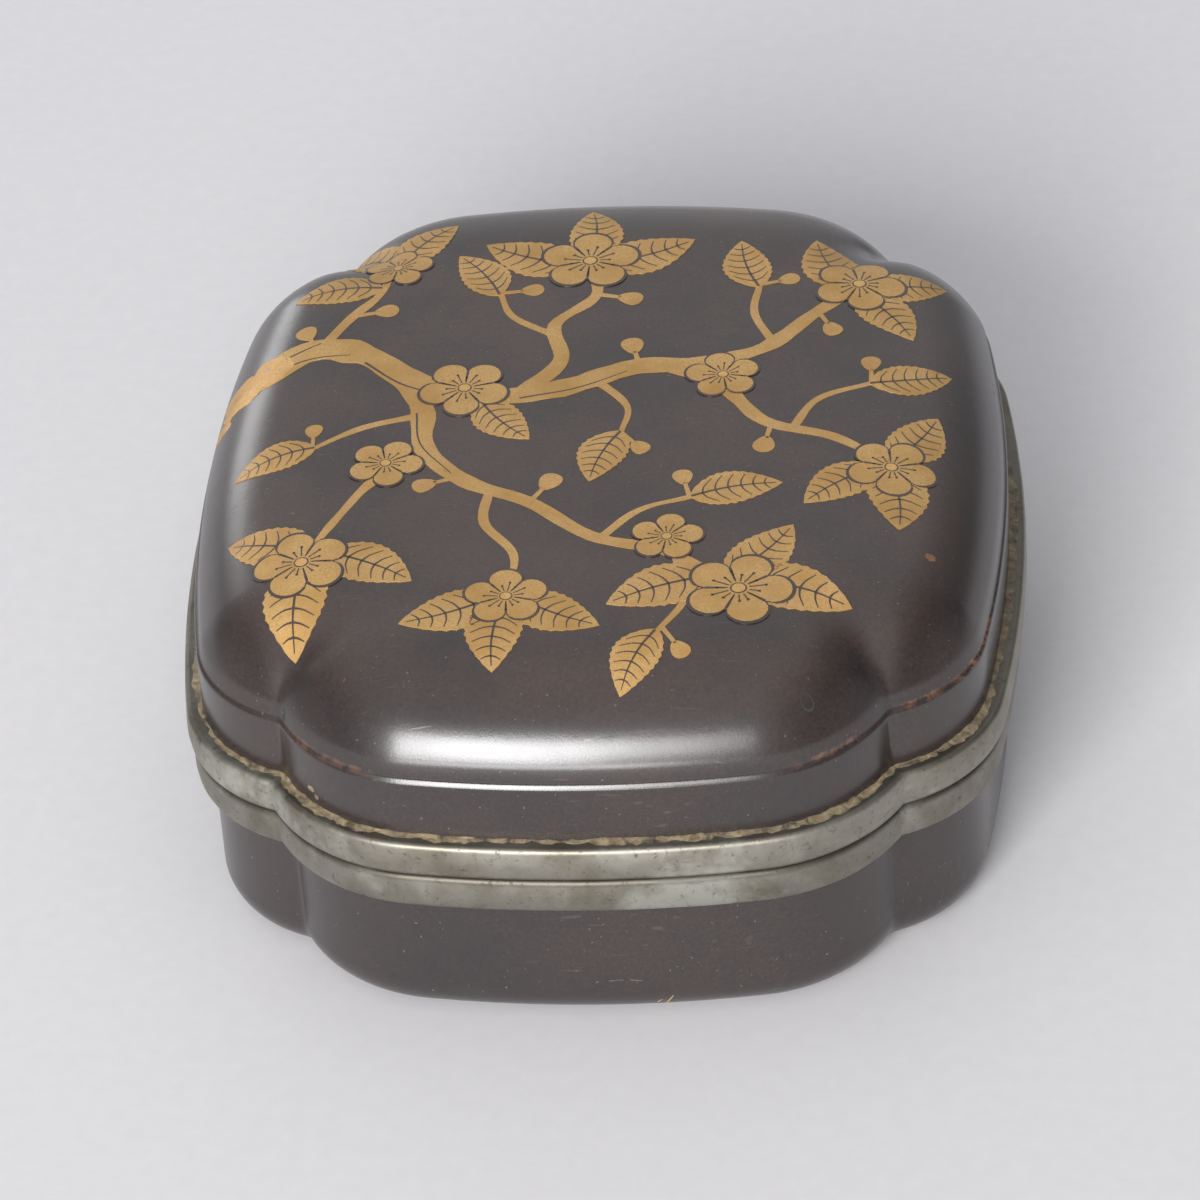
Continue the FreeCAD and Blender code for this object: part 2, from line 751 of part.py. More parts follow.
collar_plan = circle_sketch(dropper_top, "collar_plan", "XY_Plane", "Sizes.collar_radius")
collar = pad(dropper_top, "collar", collar_plan, "Sizes.dropper_sheet + Sizes.collar_height")
doc.recompute()
spout_plan = circle_sketch(dropper_top, "spout_plan", "XY_Plane", "Sizes.dropper_hole")
pocket(dropper_top, "spout", spout_plan, "Sizes.dropper_height", midplane=True)
vent_plan = circle_sketch(
    dropper_top, "vent_plan", "XY_Plane", "Sizes.vent_hole", "Sizes.vent_place", "Sizes.vent_place"
)
pocket(dropper_top, "vent", vent_plan, "Sizes.dropper_height", midplane=True)
subpart(dropper_top, "dropper_top")

# The ink stick: a moulded bar, ground away on a slant at the end that is rubbed

ink = new_body("ink_stick")
ink_pad = pad(
    ink,
    "ink_block",
    rectangle(ink, "ink_plan", "XY_Plane", "Sizes.ink_width / 2", "Sizes.ink_length / 2"),
    "Sizes.ink_thick",
)
ink_rounded = body_fillet(
    ink, "ink_edges", ink_pad, "Sizes.ink_round", lambda edge: edge.BoundBox.YLength > size("ink_length") - 1
)
wear_corners = [
    ("Sizes.ink_length / 2", "0"),
    ("Sizes.ink_length / 2", "Sizes.ink_thick"),
    ("Sizes.ink_length / 2 - Sizes.ink_wear", "Sizes.ink_thick"),
]
wear_plan = outline_sketch(ink, "wear_section", "YZ_Plane", wear_corners)
pocket(ink, "ink_wear_cut", wear_plan, "2 * Sizes.ink_width", midplane=True)
TRAY_LEVEL = "Sizes.floor_thick + Sizes.tray_floor"
set_place(ink, "Sizes.ink_across", "0", TRAY_LEVEL)
subpart(ink, "ink_stick")

# The paper knife: a grip, a metal collar and a single-edged blade let into it

knife_back = "Sizes.knife_grip + Sizes.knife_collar + Sizes.blade_length"
knife_start = f"-({knife_back}) / 2"


def knife_bar(name, width, thick, low, high, lift):
    body = new_body(name)
    middle = f"(({low}) + ({high})) / 2"
    half = f"(({high}) - ({low})) / 2"
    plan = rectangle(body, name + "_plan", "XY_Plane", f"({width}) / 2", half, middle)
    block = pad(body, name + "_block", plan, thick)
    set_place(body, "Sizes.knife_across", "0", f"{TRAY_LEVEL} + {lift}")
    doc.recompute()
    return body, block


grip_end = f"{knife_start} + Sizes.knife_grip"
grip, grip_block = knife_bar("knife_grip", "Sizes.knife_width", "Sizes.knife_thick", knife_start, grip_end, "0")
long_edge = lambda edge: edge.BoundBox.YLength > size("knife_grip") - 1
grip_rounded = body_fillet(grip, "grip_edges", grip_block, "Sizes.grip_round", long_edge)
butt_place = -(size("knife_grip") + size("knife_collar") + size("blade_length")) / 2
butt_edge = lambda edge: edge.BoundBox.YMax < butt_place + TINY
body_fillet(grip, "grip_butt", grip_rounded, "Sizes.butt_round", butt_edge)
subpart(grip, "knife_grip")

collar_end = f"{grip_end} + Sizes.knife_collar"
knife_ring, ring_block = knife_bar(
    "knife_collar",
    "Sizes.knife_width - 2 * Sizes.collar_step",
    "Sizes.knife_thick - 2 * Sizes.collar_step",
    grip_end,
    collar_end,
    "Sizes.collar_step",
)
ring_edge = lambda edge: edge.BoundBox.YLength > size("knife_collar") - TINY
body_fillet(knife_ring, "ring_edges", ring_block, "Sizes.collar_round", ring_edge)
subpart(knife_ring, "knife_collar")

blade = new_body("knife_blade")
blade_end = f"{collar_end} + Sizes.blade_length"
half_blade = "Sizes.blade_width / 2"
blade_corners = [
    (f"-({half_blade})", collar_end),
    (half_blade, collar_end),
    (half_blade, f"{blade_end} - Sizes.blade_slant"),
    (f"-({half_blade})", blade_end),
]
blade_plan = outline_sketch(blade, "blade_plan", "XY_Plane", blade_corners)
blade_block = pad(blade, "blade_block", blade_plan, "Sizes.blade_thick")
doc.recompute()
edge_corners = [
    (half_blade, "0"),
    (half_blade, "Sizes.blade_thick"),
    (f"{half_blade} - Sizes.blade_bevel", "Sizes.blade_thick"),
]
bevel_plan = outline_sketch(blade, "bevel_section", "XZ_Plane", edge_corners)
pocket(blade, "blade_bevel", bevel_plan, "Sizes.blade_length * 4", midplane=True)
set_place(blade, "Sizes.knife_across", "0", f"{TRAY_LEVEL} + Sizes.knife_thick / 2 - Sizes.blade_thick / 2")
subpart(blade, "knife_blade")


# The brushes: a bamboo shaft, a sleeve, a pointed tuft and an end knob, turned about one axis.
# Each profile is a list of shares: of the piece's length from its near end, then of the brush's radius.
SLEEVE_PROFILE = ((0, 0.9), (0.3, 1), (0.92, 1), (1, 0.92))
SHAFT_PROFILE = ((0, 0.92), (1, 0.86))
KNOB_PROFILE = ((0, 0.8), (0.35, 0.5), (0.7, 0.62), (1, 0.3))
TUFT_PROFILE = ((0, 0.78), (0.3, 0.98), (0.65, 0.62), (0.97, 0.09))

def turned(name, profile, start, length, radius, across):
    # A piece turned about the brush's axis, from a start along it.
    points = [(start, "0")]
    points.extend((f"{start} + ({length}) * {along}", f"{radius} * {out}") for along, out in profile)
    points.append((f"{start} + {length}", "0"))
    body = new_body(name)
    sketch = outline_sketch(body, name + "_section", "YZ_Plane", points)
    feature = body.newObject("PartDesign::Revolution", name + "_turned")
    feature.Profile = sketch
    feature.ReferenceAxis = (sketch, ["H_Axis"])
    feature.Angle = 360
    set_place(body, across, "0", "Sizes.brush_level")
    return subpart(body, name)


def tuft(name, start, length, radius, across):
    # A full belly near the sleeve drawn out to a fine point.
    begin = float(sheet.evalExpression(start))
    reach = size(length)
    side = Part.BSplineCurve()
    side.interpolate([Vector(0, begin - reach * along, size(radius) * out) for along, out in TUFT_PROFILE])
    root, tip = Vector(0, begin, 0), Vector(0, begin - reach, 0)
    outline = Part.Wire([
        side.toShape(),
        Part.LineSegment(side.EndPoint, tip).toShape(),
        Part.LineSegment(tip, root).toShape(),
        Part.LineSegment(root, side.StartPoint).toShape(),
    ])
    piece = doc.addObject("Part::Feature", name)
    piece.Shape = Part.Face(outline).revolve(Vector(0, 0, 0), FRONT_TO_BACK, 360)
    set_place(piece, across, "0", "Sizes.brush_level")
    return subpart(piece, name)


def brush(name):
    tuft_name = name.replace("brush", "tuft")
    radius = f"Sizes.{name}_radius"
    across = f"-Sizes.{name}_across"
    half = f"(Sizes.{name}_shaft + Sizes.{tuft_name}_length + Sizes.knob_length) / 2"
    tuft_root = f"Sizes.{tuft_name}_length - {half}"
    sleeve_end = f"{tuft_root} + Sizes.brush_sleeve"
    bare_shaft = f"Sizes.{name}_shaft - Sizes.brush_sleeve"
    turned(name + "_shaft", SHAFT_PROFILE, sleeve_end, bare_shaft, radius, across)
    turned(name + "_sleeve", SLEEVE_PROFILE, tuft_root, "Sizes.brush_sleeve", radius, across)
    turned(name + "_knob", KNOB_PROFILE, f"{half} - Sizes.knob_length", "Sizes.knob_length", radius, across)
    tuft(name + "_tuft", tuft_root, f"{tuft_name}_length", f"{name}_radius", across)


brush("large_brush")
brush("small_brush")

# The brush rests: two low wooden bars across the brush tray, each with a hollow for either brush

for word, direction in (("front", "-"), ("back", "")):
    rest = new_body(f"{word}_brush_rest")
    rest_low = "-(Sizes.small_brush_across + Sizes.small_brush_radius + Sizes.rest_margin)"
    rest_high = "-(Sizes.large_brush_across - Sizes.large_brush_radius - Sizes.rest_margin)"
    rest_corners = [
        (rest_low, "0"),
        (rest_high, "0"),
        (rest_high, "Sizes.rest_height"),
        (rest_low, "Sizes.rest_height"),
    ]
    bar_section = outline_sketch(rest, f"{word}_bar_section", "XZ_Plane", rest_corners)
    pad(rest, f"{word}_bar", bar_section, "Sizes.rest_thick", midplane=True)
    doc.recompute()
    for brush_name in ("large_brush", "small_brush"):
        hollow_plan = circle_sketch(
            rest,
            f"{word}_{brush_name}_hollow_plan",
            "XZ_Plane",
            f"Sizes.{brush_name}_radius + Sizes.rest_gap",
            f"-Sizes.{brush_name}_across",
            f"Sizes.brush_level - ({TRAY_LEVEL})",
        )
        pocket(rest, f"{word}_{brush_name}_hollow", hollow_plan, "2 * Sizes.rest_thick", midplane=True)
    set_place(rest, "0", f"{direction}Sizes.rest_place", TRAY_LEVEL)
    subpart(rest, f"{word}_brush_rest")

doc.recompute()

# Every object and every sub-part is tested before anything is written

for entry in doc.Objects:
    faults = [state for state in entry.State if state in ("Invalid", "Error")]
    if faults:
        raise ValueError(f"{entry.Name} failed: {faults}")
for piece in subparts:
    shape = piece.Shape
    if shape.isNull() or not shape.isValid():
        raise ValueError(f"{piece.Label} has no valid shape")
    print(f"{piece.Label}: {len(shape.Solids)} solid, {len(shape.Faces)} faces, {shape.Volume:.1f} mm3")
    shape.exportStep(f"parts/{piece.Label}.step")
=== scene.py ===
# A small lobed writing box in dark lacquer with a gold bough on its lid, soft metal rims,
# and an inkstone, water dropper, brushes, ink and knife inside. Metres, +Z up, front towards -Y.
import math
from contextlib import contextmanager

import bpy
from mathutils import Matrix, Vector, noise


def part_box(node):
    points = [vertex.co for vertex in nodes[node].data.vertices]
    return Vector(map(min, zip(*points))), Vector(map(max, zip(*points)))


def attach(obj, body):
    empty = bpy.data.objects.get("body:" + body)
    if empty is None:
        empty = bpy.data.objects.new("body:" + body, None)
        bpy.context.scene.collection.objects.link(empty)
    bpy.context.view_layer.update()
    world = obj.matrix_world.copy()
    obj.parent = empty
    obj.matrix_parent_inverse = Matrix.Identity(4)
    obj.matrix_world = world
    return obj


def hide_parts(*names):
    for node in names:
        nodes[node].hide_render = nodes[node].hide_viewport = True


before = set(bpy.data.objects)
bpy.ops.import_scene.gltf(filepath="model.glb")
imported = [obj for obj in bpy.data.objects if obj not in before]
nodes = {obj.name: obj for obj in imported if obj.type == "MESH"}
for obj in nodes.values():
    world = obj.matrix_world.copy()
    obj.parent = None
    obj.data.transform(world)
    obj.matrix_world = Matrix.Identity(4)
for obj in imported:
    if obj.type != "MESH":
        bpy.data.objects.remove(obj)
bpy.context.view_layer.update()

mm = 0.001


def outward(turn):
    # One unit out at an angle
    return Vector((math.cos(turn), math.sin(turn)))


def held(value, low=0, high=1):
    return min(high, max(low, value))


# Working in edit mode

def deselectAll():
    bpy.ops.object.select_all(action="DESELECT")


def makeActive(piece):
    deselectAll()
    piece.select_set(True)
    bpy.context.view_layer.objects.active = piece


@contextmanager
def editMode(piece):
    makeActive(piece)
    bpy.ops.object.mode_set(mode="EDIT")
    yield
    bpy.ops.object.mode_set(mode="OBJECT")


def applyModifier(piece, kind, **settings):
    makeActive(piece)
    modifier = piece.modifiers.new(kind.lower(), kind)
    for name, value in settings.items():
        setattr(modifier, name, value)
    bpy.ops.object.modifier_apply(modifier=modifier.name)


def joinPieces(pieces, name):
    makeActive(pieces[0])
    for piece in pieces:
        piece.select_set(True)
    bpy.ops.object.join()
    pieces[0].name = name
    pieces[0].data.name = name
    return pieces[0]


def ringPiece(name, rings, closeStart=False, closeEnd=False, loop=False):
    # A circle set on the first ring, its edge extruded and set on each next ring.
    # The ends stay open or are drawn together to a point; a loop meets its own start.
    deselectAll()
    count = len(rings[0])
    bpy.ops.mesh.primitive_circle_add(vertices=count, radius=1)
    piece = bpy.context.object
    piece.name = name
    piece.data.name = name
    for vertex, place in zip(piece.data.vertices, rings[0]):
        vertex.co = place
    for number, ring in enumerate(rings[1:], start=1):
        with editMode(piece):
            bpy.ops.mesh.select_mode(type="EDGE")
            bpy.ops.mesh.extrude_edges_move()
        fresh = piece.data.vertices[count * number:count * (number + 1)]
        for vertex, place in zip(fresh, ring):
            vertex.co = place
    # The end is closed first, because closing the start moves every vertex's number
    for closing, number in ((closeEnd, len(rings) - 1), (closeStart, 0)):
        if closing:
            selectRun(piece, count * number, count * (number + 1))
            with editMode(piece):
                bpy.ops.mesh.merge(type="CENTER")
    if loop:
        last = count * (len(rings) - 1)
        selectRun(piece, last, last + count)
        for vertex in piece.data.vertices[:count]:
            vertex.select = True
        with editMode(piece):
            bpy.ops.mesh.bridge_edge_loops()
    tidyMesh(piece)
    return piece


def selectRun(piece, first, end):
    with editMode(piece):
        bpy.ops.mesh.select_mode(type="VERT")
        bpy.ops.mesh.select_all(action="DESELECT")
    for vertex in piece.data.vertices[first:end]:
        vertex.select = True


def tidyMesh(piece, distance=0.002 * mm):
    with editMode(piece):
        bpy.ops.mesh.select_all(action="SELECT")
        bpy.ops.mesh.remove_doubles(threshold=distance)
        bpy.ops.mesh.normals_make_consistent(inside=False)


def smoothBy(piece, degrees=40):
    makeActive(piece)
    bpy.ops.object.shade_smooth_by_angle(angle=math.radians(degrees))


def stripPiece(name, places, across):
    # A grid set on rows of places, each row running across the strip.
    deselectAll()
    along = len(places) // across
    bpy.ops.mesh.primitive_grid_add(x_subdivisions=across - 1, y_subdivisions=along - 1, size=1)
    piece = bpy.context.object
    piece.name = name
    for vertex, place in zip(piece.data.vertices, places):
        vertex.co = place
    return piece


def finishPiece(piece, body, material, replaced=()):
    piece.data.materials.clear()
    piece.data.materials.append(material)
    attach(piece, body)
    if replaced:
        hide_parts(*replaced)


# The plan outline, in millimetres: end and side lobes of a long arc between two corner arcs,
# meeting in four notches. Positive offsets lie outside it.

outline = {
    "halfWidth": 50, "halfDepth": 58, "notch": (36.3, 44.8), "notchRound": 1.5,
    "endArc": 137, "endBend": 20.6, "sideArc": 205, "sideBend": 17.5,
    "arcSteps": 22, "cornerSteps": 26, "notchSteps": 14,
}
endArc, endBend, sideArc, sideBend = (outline[name] for name in ("endArc", "endBend", "sideArc", "sideBend"))


def crossing(first, firstRadius, second, secondRadius, choose=max):
    # Where two circles cross: further out from the middle of the box, or nearer to it with min
    between = second - first
    along = (firstRadius ** 2 - secondRadius ** 2 + between.length ** 2) / (2 * between.length)
    aside = math.sqrt(firstRadius ** 2 - along ** 2)
    direction = between.normalized()
    across = Vector((-direction.y, direction.x)) * aside
    middle = first + direction * along
    return choose(middle + across, middle - across, key=lambda p: p.length)


def cornerCentre(arcCentre, arcRadius, cornerRadius):
    # A corner arc touches its long arc from inside and runs through the notch
    return crossing(arcCentre, arcRadius - cornerRadius, Vector(outline["notch"]), cornerRadius, min)


endCentre = Vector((0, outline["halfDepth"] - endArc))
sideCentre = Vector((outline["halfWidth"] - sideArc, 0))
endCorner = cornerCentre(endCentre, endArc, endBend)
sideCorner = cornerCentre(sideCentre, sideArc, sideBend)
notchRound = outline["notchRound"]
notchCentre = crossing(endCorner, endBend + notchRound, sideCorner, sideBend + notchRound)


def bearing(centre, point):
    return math.atan2(point.y - centre.y, point.x - centre.x)


def arcRun(centre, radius, start, end, steps):
    return [centre + radius * outward(start + (end - start) * k / steps) for k in range(steps)]


def quarterRun(offset, sharp):
    # From the middle of the back lobe to the middle of the right lobe
    endJoin, sideJoin = bearing(endCentre, endCorner), bearing(sideCentre, sideCorner)
    notch = crossing(endCorner, endBend + offset, sideCorner, sideBend + offset) if sharp else notchCentre
    endNotch, sideNotch = bearing(endCorner, notch), bearing(sideCorner, notch)
    run = arcRun(endCentre, endArc + offset, math.pi / 2, endJoin, outline["arcSteps"])
    run += arcRun(endCorner, endBend + offset, endJoin, endNotch, outline["cornerSteps"])
    if not sharp:
        start, end = bearing(notchCentre, endCorner), bearing(notchCentre, sideCorner)
        end = start + (end - start) % math.tau
        run += arcRun(notchCentre, outline["notchRound"] - offset, start, end, outline["notchSteps"])
    run += arcRun(sideCorner, sideBend + offset, sideNotch, sideJoin, outline["cornerSteps"])
    run += arcRun(sideCentre, sideArc + offset, sideJoin, 0, outline["arcSteps"])
    return run


def lobedRing(offset, level, sharp=False):
    # The whole outline at an offset and a level, in metres
    quarter = quarterRun(offset, sharp)
    side = Vector((outline["halfWidth"] + offset, 0))
    right = quarter + [Vector((p.x, -p.y)) for p in [side] + quarter[:0:-1]]
    right.append(Vector((0, -outline["halfDepth"] - offset)))
    ring = right + [Vector((-p.x, p.y)) for p in right[-2:0:-1]]
    return [Vector((p.x, p.y, level)) * mm for p in ring]


# Materials: every one is procedural and follows the piece's own coordinates

def feed(socket, value):
    # Another node's output is linked to the socket; a number, vector or colour is set on it
    if isinstance(value, bpy.types.NodeSocket):
        socket.id_data.links.new(value, socket)
    elif socket.type == "RGBA":
        socket.default_value = (*value, 1)
    else:
        socket.default_value = value


def newNode(kind, inputs, **settings):
    # A node in the tree of its first linked input
    tree = next(value.id_data for value in inputs.values() if isinstance(value, bpy.types.NodeSocket))
    node = tree.nodes.new("ShaderNode" + kind)
    for label, value in settings.items():
        setattr(node, label, value)
    for label, value in inputs.items():
        feed(node.inputs[label], value)
    return node


def startMaterial(name, metallic=0, specular=0.5, coat=0):
    material = bpy.data.materials.new(name)
    material.use_nodes = True
    shader = material.node_tree.nodes["Principled BSDF"]
    for label, value in (("Metallic", metallic), ("Specular IOR Level", specular), ("Coat Weight", coat),
                         ("Coat Roughness", 0.1)):
        feed(shader.inputs[label], value)
    place = material.node_tree.nodes.new("ShaderNodeTexCoord").outputs["Object"]
    return material, shader, place


def stretched(place, scale, turn=(0, 0, 0)):
    return newNode("Mapping", {"Vector": place, "Scale": scale, "Rotation": turn}).outputs["Vector"]


def noiseOf(place, scale, detail, roughness, distortion=0):
    return newNode("TexNoise", {
        "Vector": place, "Scale": scale, "Detail": detail, "Roughness": roughness, "Distortion": distortion,
    }).outputs["Fac"]


def rampOf(value, *stops):
    # Each stop is a place from 0 to 1 and a grey level or a colour
    node = newNode("ValToRGB", {"Fac": value})
    elements = node.color_ramp.elements
    while len(elements) < len(stops):
        elements.new(0.5)
    for element, (position, colour) in zip(elements, stops):
        element.position = position
        element.color = (*colour, 1) if isinstance(colour, tuple) else (colour, colour, colour, 1)
    return node.outputs["Color"]


def patches(place, scale, detail, roughness, low, high):
    # Noise cut to 0 below one level and to 1 above another
    return rampOf(noiseOf(place, scale, detail, roughness), (low, 0), (high, 1))


def mathOf(operation, first, second=0, clamp=False):
    return newNode("Math", {0: first, 1: second}, operation=operation, use_clamp=clamp).outputs["Value"]


def times(first, second, clamp=False):
    return mathOf("MULTIPLY", first, second, clamp)


def plus(first, second, clamp=False):
    return mathOf("ADD", first, second, clamp)


def mixColour(share, first, second, blend="MIX"):
    return newNode("Mix", {0: share, 6: first, 7: second}, data_type="RGBA", blend_type=blend).outputs[2]


def heightOf(place):
    # The level above the table, in millimetres
    return times(newNode("SeparateXYZ", {"Vector": place}).outputs["Z"], 1 / mm)


def nearLevel(place, level, reach):
    # 1 at a level, falling to 0 at a reach above and below it
    away = mathOf("ABSOLUTE", mathOf("SUBTRACT", heightOf(place), level))
    return mathOf("SUBTRACT", 1, mathOf("DIVIDE", away, reach), clamp=True)


def nearPoint(place, point, reach):
    # 1 at a point given in millimetres, falling to 0 at a reach round it
    away = newNode("VectorMath", {0: place, 1: Vector(point) * mm}, operation="DISTANCE").outputs["Value"]
    return mathOf("SUBTRACT", 1, mathOf("DIVIDE", away, reach * mm), clamp=True)


def setSurface(shader, colour, rough, relief, bump, bumpDepth):
    normal = newNode("Bump", {"Height": relief, "Strength": bump, "Distance": bumpDepth}).outputs["Normal"]
    for label, value in (("Base Color", colour), ("Roughness", rough), ("Normal", normal)):
        feed(shader.inputs[label], value)


def scaled(colour, light):
    return tuple(channel * light for channel in colour)


# The top turns browner between the two levels "brownFrom" and "brownTo", shares of "span" millimetres
lacquer = {
    "dark": (0.0215, 0.0178, 0.018), "brown": (0.058, 0.036, 0.029), "wornRed": (0.11, 0.052, 0.034),
    "ochre": (0.27, 0.13, 0.068), "dust": (0.2, 0.18, 0.17), "flake": (0.5, 0.29, 0.09),
    "grain": 42, "span": 50, "brownFrom": 0.85, "brownTo": 0.93, "brownBelow": 0.3, "brownShare": 1.6,
    "scratchShare": 0.14, "speckShare": 0.5, "edgeReach": 0.62,
    "roughness": 0.25, "haze": 0.12, "specular": 0.82, "orangePeel": 2.2, "bump": 0.22, "bumpDepth": 0.00003,
}


def makeLacquer(name, wornSpots=(), nashiji=0):
    # Dark lacquer over wood: clouded brown, hair scratches, dust specks, and red wear at worn spots.
    # A worn spot is a point and reach in millimetres, the level of its edge, and a strength.
    material, shader, place = startMaterial(name, specular=lacquer["specular"])
    clouds = patches(place, lacquer["grain"], 5, 0.6, 0.26, 0.84)
    height = mathOf("DIVIDE", heightOf(place), lacquer["span"])
    browner = rampOf(height, (lacquer["brownFrom"], lacquer["brownBelow"]), (lacquer["brownTo"], 1))
    brown = times(clouds, times(browner, lacquer["brownShare"]), clamp=True)
    colour = mixColour(brown, lacquer["dark"], lacquer["brown"])
    mottle = rampOf(noiseOf(place, 1900, 3, 0.7), (0.3, 0.78), (0.7, 1.22))
    colour = mixColour(1, colour, mottle, "MULTIPLY")
    scratches = patches(stretched(place, (150, 4200, 900), (0, 0, 0.35)), 1, 1, 0.5, 0.68, 0.78)
    crossed = patches(stretched(place, (3600, 110, 900), (0, 0, 0.5)), 1, 1, 0.5, 0.73, 0.8)
    fine = times(plus(scratches, crossed, clamp=True), patches(place, 55, 2, 0.5, 0.46, 0.6))
    colour = mixColour(times(fine, lacquer["scratchShare"]), colour, lacquer["dust"])
    specks = patches(place, 2600, 0, 0.5, 0.83, 0.86)
    colour = mixColour(times(specks, lacquer["speckShare"]), colour, lacquer["dust"])
    if nashiji:
        flakes = patches(place, 3100, 1, 0.6, 0.6, 0.66)
        drift = rampOf(noiseOf(place, 60, 2, 0.5), (0.35, 0.2), (0.65, 1))
        colour = mixColour(times(times(flakes, drift), nashiji), colour, lacquer["flake"])
    worn = 0
    for point, reach, level, strength in wornSpots:
        spot = rampOf(nearPoint(place, point, reach), (0, 0), (0.35, 1))
        edge = rampOf(nearLevel(place, level, lacquer["edgeReach"]), (0.1, 0), (0.6, 1))
        worn = mathOf("MAXIMUM", worn, times(times(spot, edge), strength))
    if wornSpots:
        broken = patches(place, 620, 5, 0.75, 0.46, 0.58)
        tone = mixColour(noiseOf(place, 800, 3, 0.6), lacquer["wornRed"], lacquer["ochre"])
        colour = mixColour(times(worn, broken), colour, tone)
    haze = times(noiseOf(place, 70, 4, 0.6), lacquer["haze"])
    uneven = plus(haze, lacquer["roughness"] - lacquer["haze"] / 2)
    rough = plus(uneven, times(fine, lacquer["haze"]))
    peel = times(noiseOf(place, 260, 3, 0.5), lacquer["orangePeel"])
    brushed = plus(plus(noiseOf(place, 4200, 2, 0.6), peel), fine)
    setSurface(shader, colour, rough, brushed, lacquer["bump"], lacquer["bumpDepth"])
    return material


pewter = {
    "light": (0.278, 0.262, 0.228), "olive": (0.168, 0.154, 0.119), "dark": (0.055, 0.048, 0.036),
    "bloom": (0.312, 0.314, 0.281), "chalkShare": 0.62, "pitShare": 0.7,
    # Painted shade at the seam between the rims and by the wall: how far it reaches, and its strength
    "seamShade": (1, 0.75), "wallShade": (0.5, 0.5),  # how far it reaches, and its strength
    "metal": 0.85, "chalkMetal": 0.3, "roughness": 0.33, "cloudRough": 0.26, "chalkRough": 0.12,
    "pitDepth": 0.4, "bump": 0.3, "bumpDepth": 0.00018,
}


# The light factor scales every colour, giving lit and shaded copies of the same pewter: painted light
def makePewter(name, wallLevel, seamLevel, light):
    # Soft grey metal with an olive bloom, chalky patches and pits, and painted shade darkening it at the
    # seam and by the wall
    material, shader, place = startMaterial(name)
    clouds = noiseOf(place, 110, 6, 0.62, 0.4)
    colour = mixColour(rampOf(clouds, (0.36, 0), (0.66, 1)),
                       scaled(pewter["olive"], light), scaled(pewter["light"], light))
    chalk = patches(place, 46, 5, 0.7, 0.53, 0.64)
    colour = mixColour(times(chalk, pewter["chalkShare"]), colour, scaled(pewter["bloom"], light))
    pits = patches(place, 1150, 4, 0.7, 0.57, 0.72)
    colour = mixColour(times(pits, pewter["pitShare"]), colour, pewter["dark"])
    # Painted shade: the colour is darkened towards the dark pewter near the seam and near the wall
    for level, (reach, strength) in ((seamLevel, pewter["seamShade"]), (wallLevel, pewter["wallShade"])):
        paintedShade = rampOf(nearLevel(place, level, reach), (0.05, 0), (0.75, 1))
        colour = mixColour(times(paintedShade, strength), colour, pewter["dark"])
    feed(shader.inputs["Metallic"], mathOf("SUBTRACT", pewter["metal"], times(chalk, pewter["chalkMetal"])))
    uneven = plus(times(clouds, pewter["cloudRough"]), pewter["roughness"])
    rough = plus(uneven, times(chalk, pewter["chalkRough"]))
    dents = plus(noiseOf(place, 260, 5, 0.6), times(pits, pewter["pitDepth"]))
    setSurface(shader, colour, rough, dents, pewter["bump"], pewter["bumpDepth"])
    return material


gold = {
    "light": (0.66, 0.42, 0.165), "deep": (0.5, 0.285, 0.085), "worn": (0.27, 0.13, 0.045),
    "metal": 0.45, "wornShare": 0.7, "bump": 0.35, "bumpDepth": 0.00003,
}


def makeGold(name, light=1):
    # Sprinkled gold powder in lacquer: grainy, half matt, rubbed a little thin in places
    material, shader, place = startMaterial(name, metallic=gold["metal"])
    deep, bright = scaled(gold["deep"], light), scaled(gold["light"], light)
    colour = mixColour(patches(place, 130, 4, 0.6, 0.34, 0.6), deep, bright)
    powder = patches(place, 4200, 2, 0.6, 0.3, 0.6)
    colour = mixColour(powder, deep, colour)
    rubbed = patches(place, 330, 5, 0.7, 0.66, 0.75)
    colour = mixColour(times(rubbed, gold["wornShare"]), colour, gold["worn"])
    rough = rampOf(powder, (0, 0.56), (1, 0.44))
    setSurface(shader, colour, rough, powder, gold["bump"], gold["bumpDepth"])
    return material


grained = {"blotch": 90, "unevenness": 0.24, "bumpDepth": 0.0001}


def makeGrained(name, base, dark, scale, stretch, roughness, bump, metallic=0, coat=0):
    # A grain drawn out along one direction, for wood, bamboo, horn, hair and worked metal
    material, shader, place = startMaterial(name, metallic=metallic, coat=coat)
    grain = noiseOf(stretched(place, stretch), scale, 5, 0.62, 0.6)
    colour = mixColour(rampOf(grain, (0.34, 0), (0.66, 1)), dark, base)
    blotch = rampOf(noiseOf(place, grained["blotch"], 3, 0.6), (0.3, 0.82), (0.7, 1))
    colour = mixColour(1, colour, blotch, "MULTIPLY")
    rough = plus(times(grain, grained["unevenness"]), roughness - grained["unevenness"] / 2)
    setSurface(shader, colour, rough, grain, bump, grained["bumpDepth"])
    return material


# Worn spots on the arris of the lid and the foot of the base
lidLacquer = makeLacquer("lid_lacquer", [
    ((45.5, -31, 36.6), 9, 36.7, 1), ((39, -40.5, 36.6), 4, 36.7, 0.6),
    ((-31, -52.5, 36.6), 8, 36.7, 0.35), ((30, -52.6, 36.6), 6, 36.9, 0.5),
    ((-48.6, -18, 36.6), 7, 36.7, 0.4), ((20, 55.6, 36.6), 9, 36.7, 0.5),
])
baseLacquer = makeLacquer("base_lacquer", [
    ((36, -44, 0.8), 9, 0.8, 0.5), ((-30, 50, 0.8), 9, 0.8, 0.5),
])
insideLacquer = makeLacquer("inside_lacquer", nashiji=0.9)
# Painted light: the lid's rim uses a copy of the pewter painted 1.2 times lighter than the base's
lidPewter = makePewter("lid_pewter", 28.6, 23.5, 1.2)
basePewter = makePewter("base_pewter", 18.3, 23.4, 1)
bough = makeGold("bough_gold")
brightGold = makeGold("bright_gold", 1.18)

